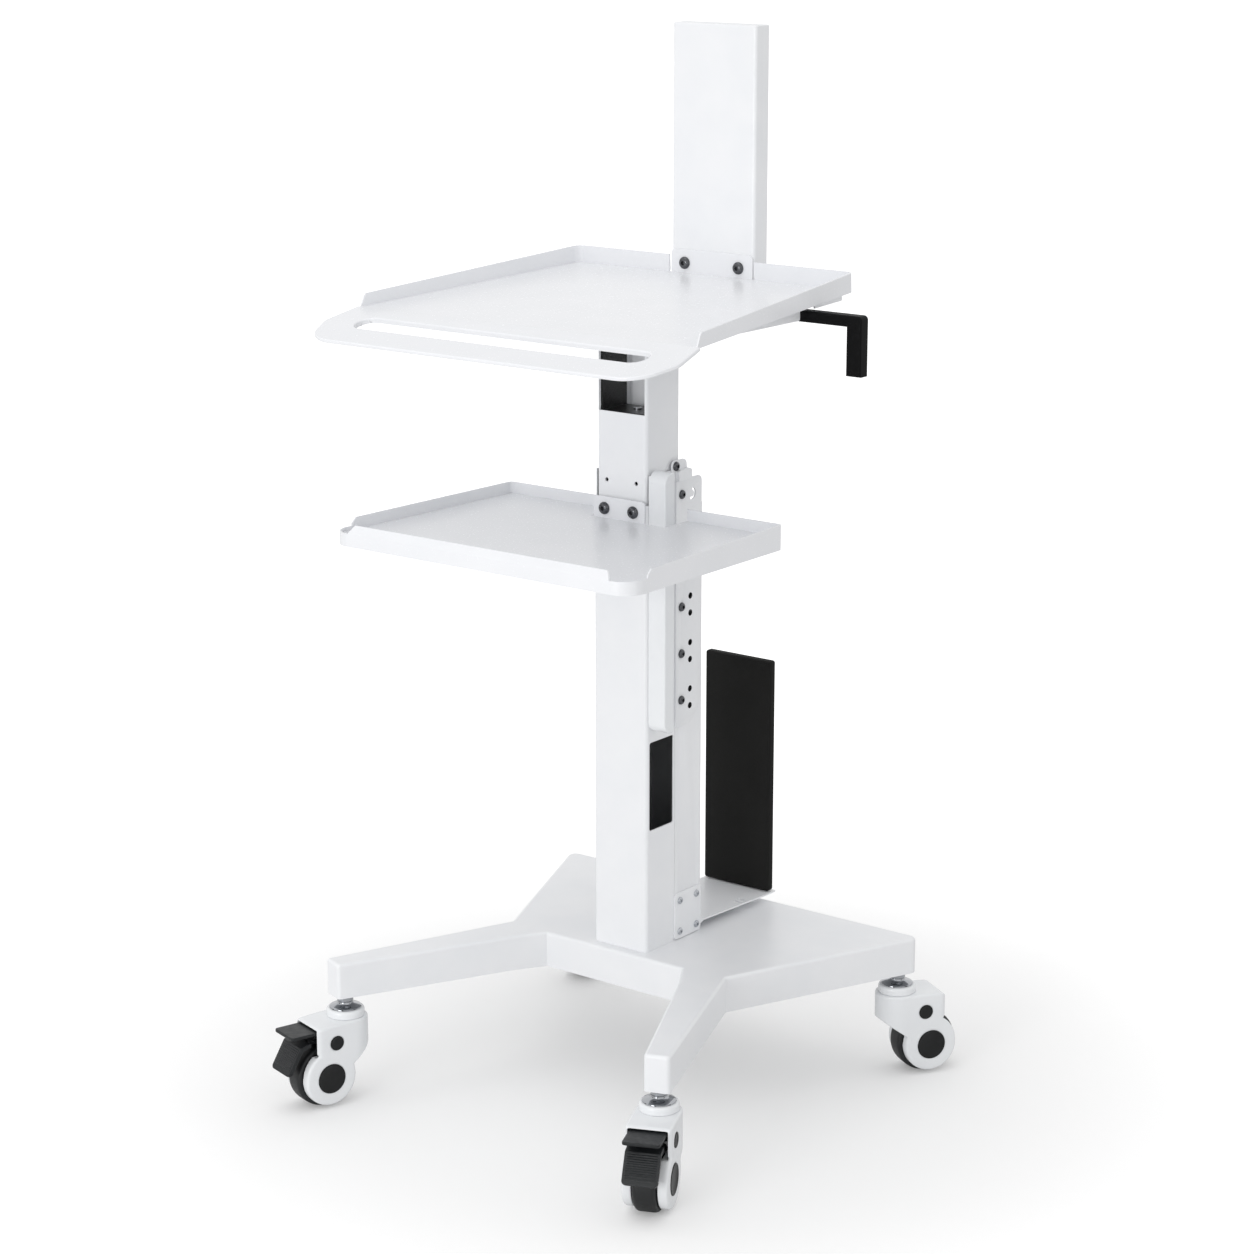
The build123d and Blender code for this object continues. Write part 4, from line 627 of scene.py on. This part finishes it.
# %% Draw the cheeks in
CHEEK_SHARE, FADE_FROM, FADE_TO = 0.045, 6.0, 26.0
joint_of = {j["name"]: j for j in frame["record"]["behaviour"]["joints"]}
for corner in CORNERS:
    axle = Vector(joint_of[corner + "_roll"]["pos_m"])
    sideways = Vector(joint_of[corner + "_roll"]["axis"])
    for point in bpy.data.objects[corner + "_housing_moulding"].data.vertices:
        offset = point.co - axle
        along = sideways * offset.dot(sideways)
        fade = min(1, max(0, (offset.z / MM - FADE_FROM) / (FADE_TO - FADE_FROM)))
        point.co = axle + along + (offset - along) * (1 - CHEEK_SHARE * (1 - fade))
print("cheeks drawn in by", CHEEK_SHARE)

# %% [markdown]
# The host pad is foam between two skins, cut square and pressed at its edge, so it is a box with a round edge.

# %% Build the host pad
PAD_EDGE, PAD_STEPS, PAD_SHARP = 3.2, 5, radians(35)
corners = [frame["nodes"]["host_pad"].matrix_world @ Vector(v) for v in frame["nodes"]["host_pad"].bound_box]
low = Vector([min(c[i] for c in corners) for i in range(3)])
high = Vector([max(c[i] for c in corners) for i in range(3)])
bpy.ops.object.select_all(action="DESELECT")
bpy.ops.mesh.primitive_cube_add(size=1, location=(low + high) / 2)
pad = bpy.context.active_object
pad.name = "host_pad_foam"
pad.scale = high - low
bpy.ops.object.transform_apply(location=True, rotation=True, scale=True)
edge = pad.modifiers.new("pressed_edge", "BEVEL")
edge.width = PAD_EDGE * MM
edge.segments = PAD_STEPS
apply_all(pad)
bpy.ops.object.shade_smooth_by_angle(angle=PAD_SHARP)
dress(pad, "host_pad")
print("pad built", tuple(round(v, 3) for v in high - low))

# %% [markdown]
# ## Turned pieces
# The stem, swivel ring, tyre and caps of a caster are round, so each is drawn as half a section and spun round its
# axis, as on a lathe. A plane is merged into one point, the point is extruded along the section, and the line is
# spun. The sections have the small radii that a turned edge or a moulded rim has.

# %% Spin a section
TURN_STEPS, TURN_SHARP = 72, radians(42)


def turned(piece_name, section, foot, axis, closed=False):
    """Spins a section of (radius, height) points in millimetres round an axis that starts at foot."""
    bpy.ops.object.select_all(action="DESELECT")
    bpy.ops.mesh.primitive_plane_add(size=MM)
    piece = bpy.context.active_object
    piece.name = piece_name
    points = section + section[:1] if closed else section
    bpy.ops.object.mode_set(mode="EDIT")
    bpy.ops.mesh.select_all(action="SELECT")
    bpy.ops.mesh.merge(type="CENTER")
    bpy.ops.transform.translate(value=(points[0][0] * MM, 0, points[0][1] * MM))
    for (r0, h0), (r1, h1) in zip(points, points[1:]):
        step = ((r1 - r0) * MM, 0, (h1 - h0) * MM)
        bpy.ops.mesh.extrude_region_move(TRANSFORM_OT_translate={"value": step})
    bpy.ops.mesh.select_all(action="SELECT")
    bpy.ops.mesh.spin(steps=TURN_STEPS, angle=2 * pi, center=(0, 0, 0), axis=(0, 0, 1))
    bpy.ops.mesh.select_all(action="SELECT")
    bpy.ops.mesh.remove_doubles(threshold=WELD)
    bpy.ops.mesh.normals_make_consistent(inside=False)
    bpy.ops.object.mode_set(mode="OBJECT")
    bpy.ops.object.shade_smooth_by_angle(angle=TURN_SHARP)
    piece.matrix_world = Matrix.Translation(foot) @ Vector(axis).to_track_quat("Z", "Y").to_matrix().to_4x4()
    bpy.ops.object.transform_apply(location=True, rotation=True, scale=True)
    return piece


print("sections are spun in", TURN_STEPS, "steps")

# %% [markdown]
# The stem is chrome-plated steel: a spindle in the housing, a race under the ring, a wide dome that covers the ring,
# a short neck and a collar under the base. The ring is glossy white plastic with a round shoulder.

# %% Stems and swivel rings
STEM_SECTION = [(0, 84.6), (7.4, 84.6), (8, 85.2), (8, 102.9), (17.5, 102.9), (18, 103.4), (18, 107.9),
                (17.5, 108.4), (8, 108.4), (8, 112.3), (18.4, 112.3), (19, 112.7), (18.8, 113.3), (17.2, 114.1),
                (14.6, 114.9), (12, 115.6), (10.2, 116.4), (9.2, 117.4), (8.7, 118.4), (8.7, 119.4), (9.3, 119.8),
                (9.5, 120.4), (9.5, 126.4), (9, 126.9), (6, 126.9), (6, 155.4), (5.4, 156), (0, 156)]
RING_SECTION = [(18.4, 102.6), (22, 102.6), (22.5, 103.1), (22.5, 108.2), (22.3, 109.6), (21.6, 110.9),
                (20.6, 111.6), (19.4, 111.9), (8.5, 111.9), (8.5, 108.9), (18.4, 108.9)]
UP = Vector((0, 0, 1))
for corner in CORNERS:
    swivel = Vector(joint_of[corner + "_swivel"]["pos_m"])
    foot = Vector((swivel.x, swivel.y, 0))
    dress(turned(corner + "_stem_turned", STEM_SECTION, foot, UP), corner + "_stem")
    dress(turned(corner + "_ring_turned", RING_SECTION, foot, UP, closed=True), corner + "_swivel_ring")
print("stems and rings turned")

# %% [markdown]
# The tyre is a rubber band with full round shoulders, spun round the axle. The caps are black discs with a raised
# rim and a shallow dish, two on each side: a large one over the axle and a small one over the pin.

# %% Tyres and caps
TYRE_SECTION = [(30.5, -13), (33.6, -13), (35.1, -12.6), (36.4, -11.5), (37.2, -9.8), (37.5, -7.5), (37.5, 7.5),
                (37.2, 9.8), (36.4, 11.5), (35.1, 12.6), (33.6, 13), (30.5, 13)]
CAP_BACK, CAP_FACE, CAP_DISH = 24.9, 26.6, 26.2
HUB_CAP_RADIUS, PIN_CAP_RADIUS = 17.9, 8.8
PIN_AHEAD, PIN_ABOVE = -8.0, 42.5  # where the pin stands, seen from the axle


def cap_section(radius):
    """Half a cap: back, rim with a round edge, then the dish."""
    return [(0, CAP_BACK), (radius - 0.3, CAP_BACK), (radius, CAP_BACK + 0.3), (radius, CAP_FACE - 0.6),
            (radius - 0.25, CAP_FACE - 0.15), (radius - 0.8, CAP_FACE), (radius - 1.5, CAP_FACE - 0.1),
            (radius - 2.0, CAP_DISH), (0, CAP_DISH - 0.1)]


for corner in CORNERS:
    axle = Vector(joint_of[corner + "_roll"]["pos_m"])
    swivel = Vector(joint_of[corner + "_swivel"]["pos_m"])
    sideways = Vector(joint_of[corner + "_roll"]["axis"])
    ahead = Vector((axle.x - swivel.x, axle.y - swivel.y, 0)).normalized()
    pin = axle + (ahead * PIN_AHEAD + UP * PIN_ABOVE) * MM
    dress(turned(corner + "_tyre_turned", TYRE_SECTION, axle, sideways, closed=True), corner + "_tyre")
    discs = [turned(corner + "_cap", cap_section(radius), centre, sideways * way)
             for centre, radius in ((axle, HUB_CAP_RADIUS), (pin, PIN_CAP_RADIUS)) for way in (1, -1)]
    bpy.ops.object.select_all(action="DESELECT")
    for disc in discs:
        disc.select_set(True)
    bpy.context.view_layer.objects.active = discs[0]
    bpy.ops.object.join()
    discs[0].name = corner + "_caps_turned"
    dress(discs[0], corner + "_caps")
print("tyres and caps turned")

# %% End
print("scene dressed")
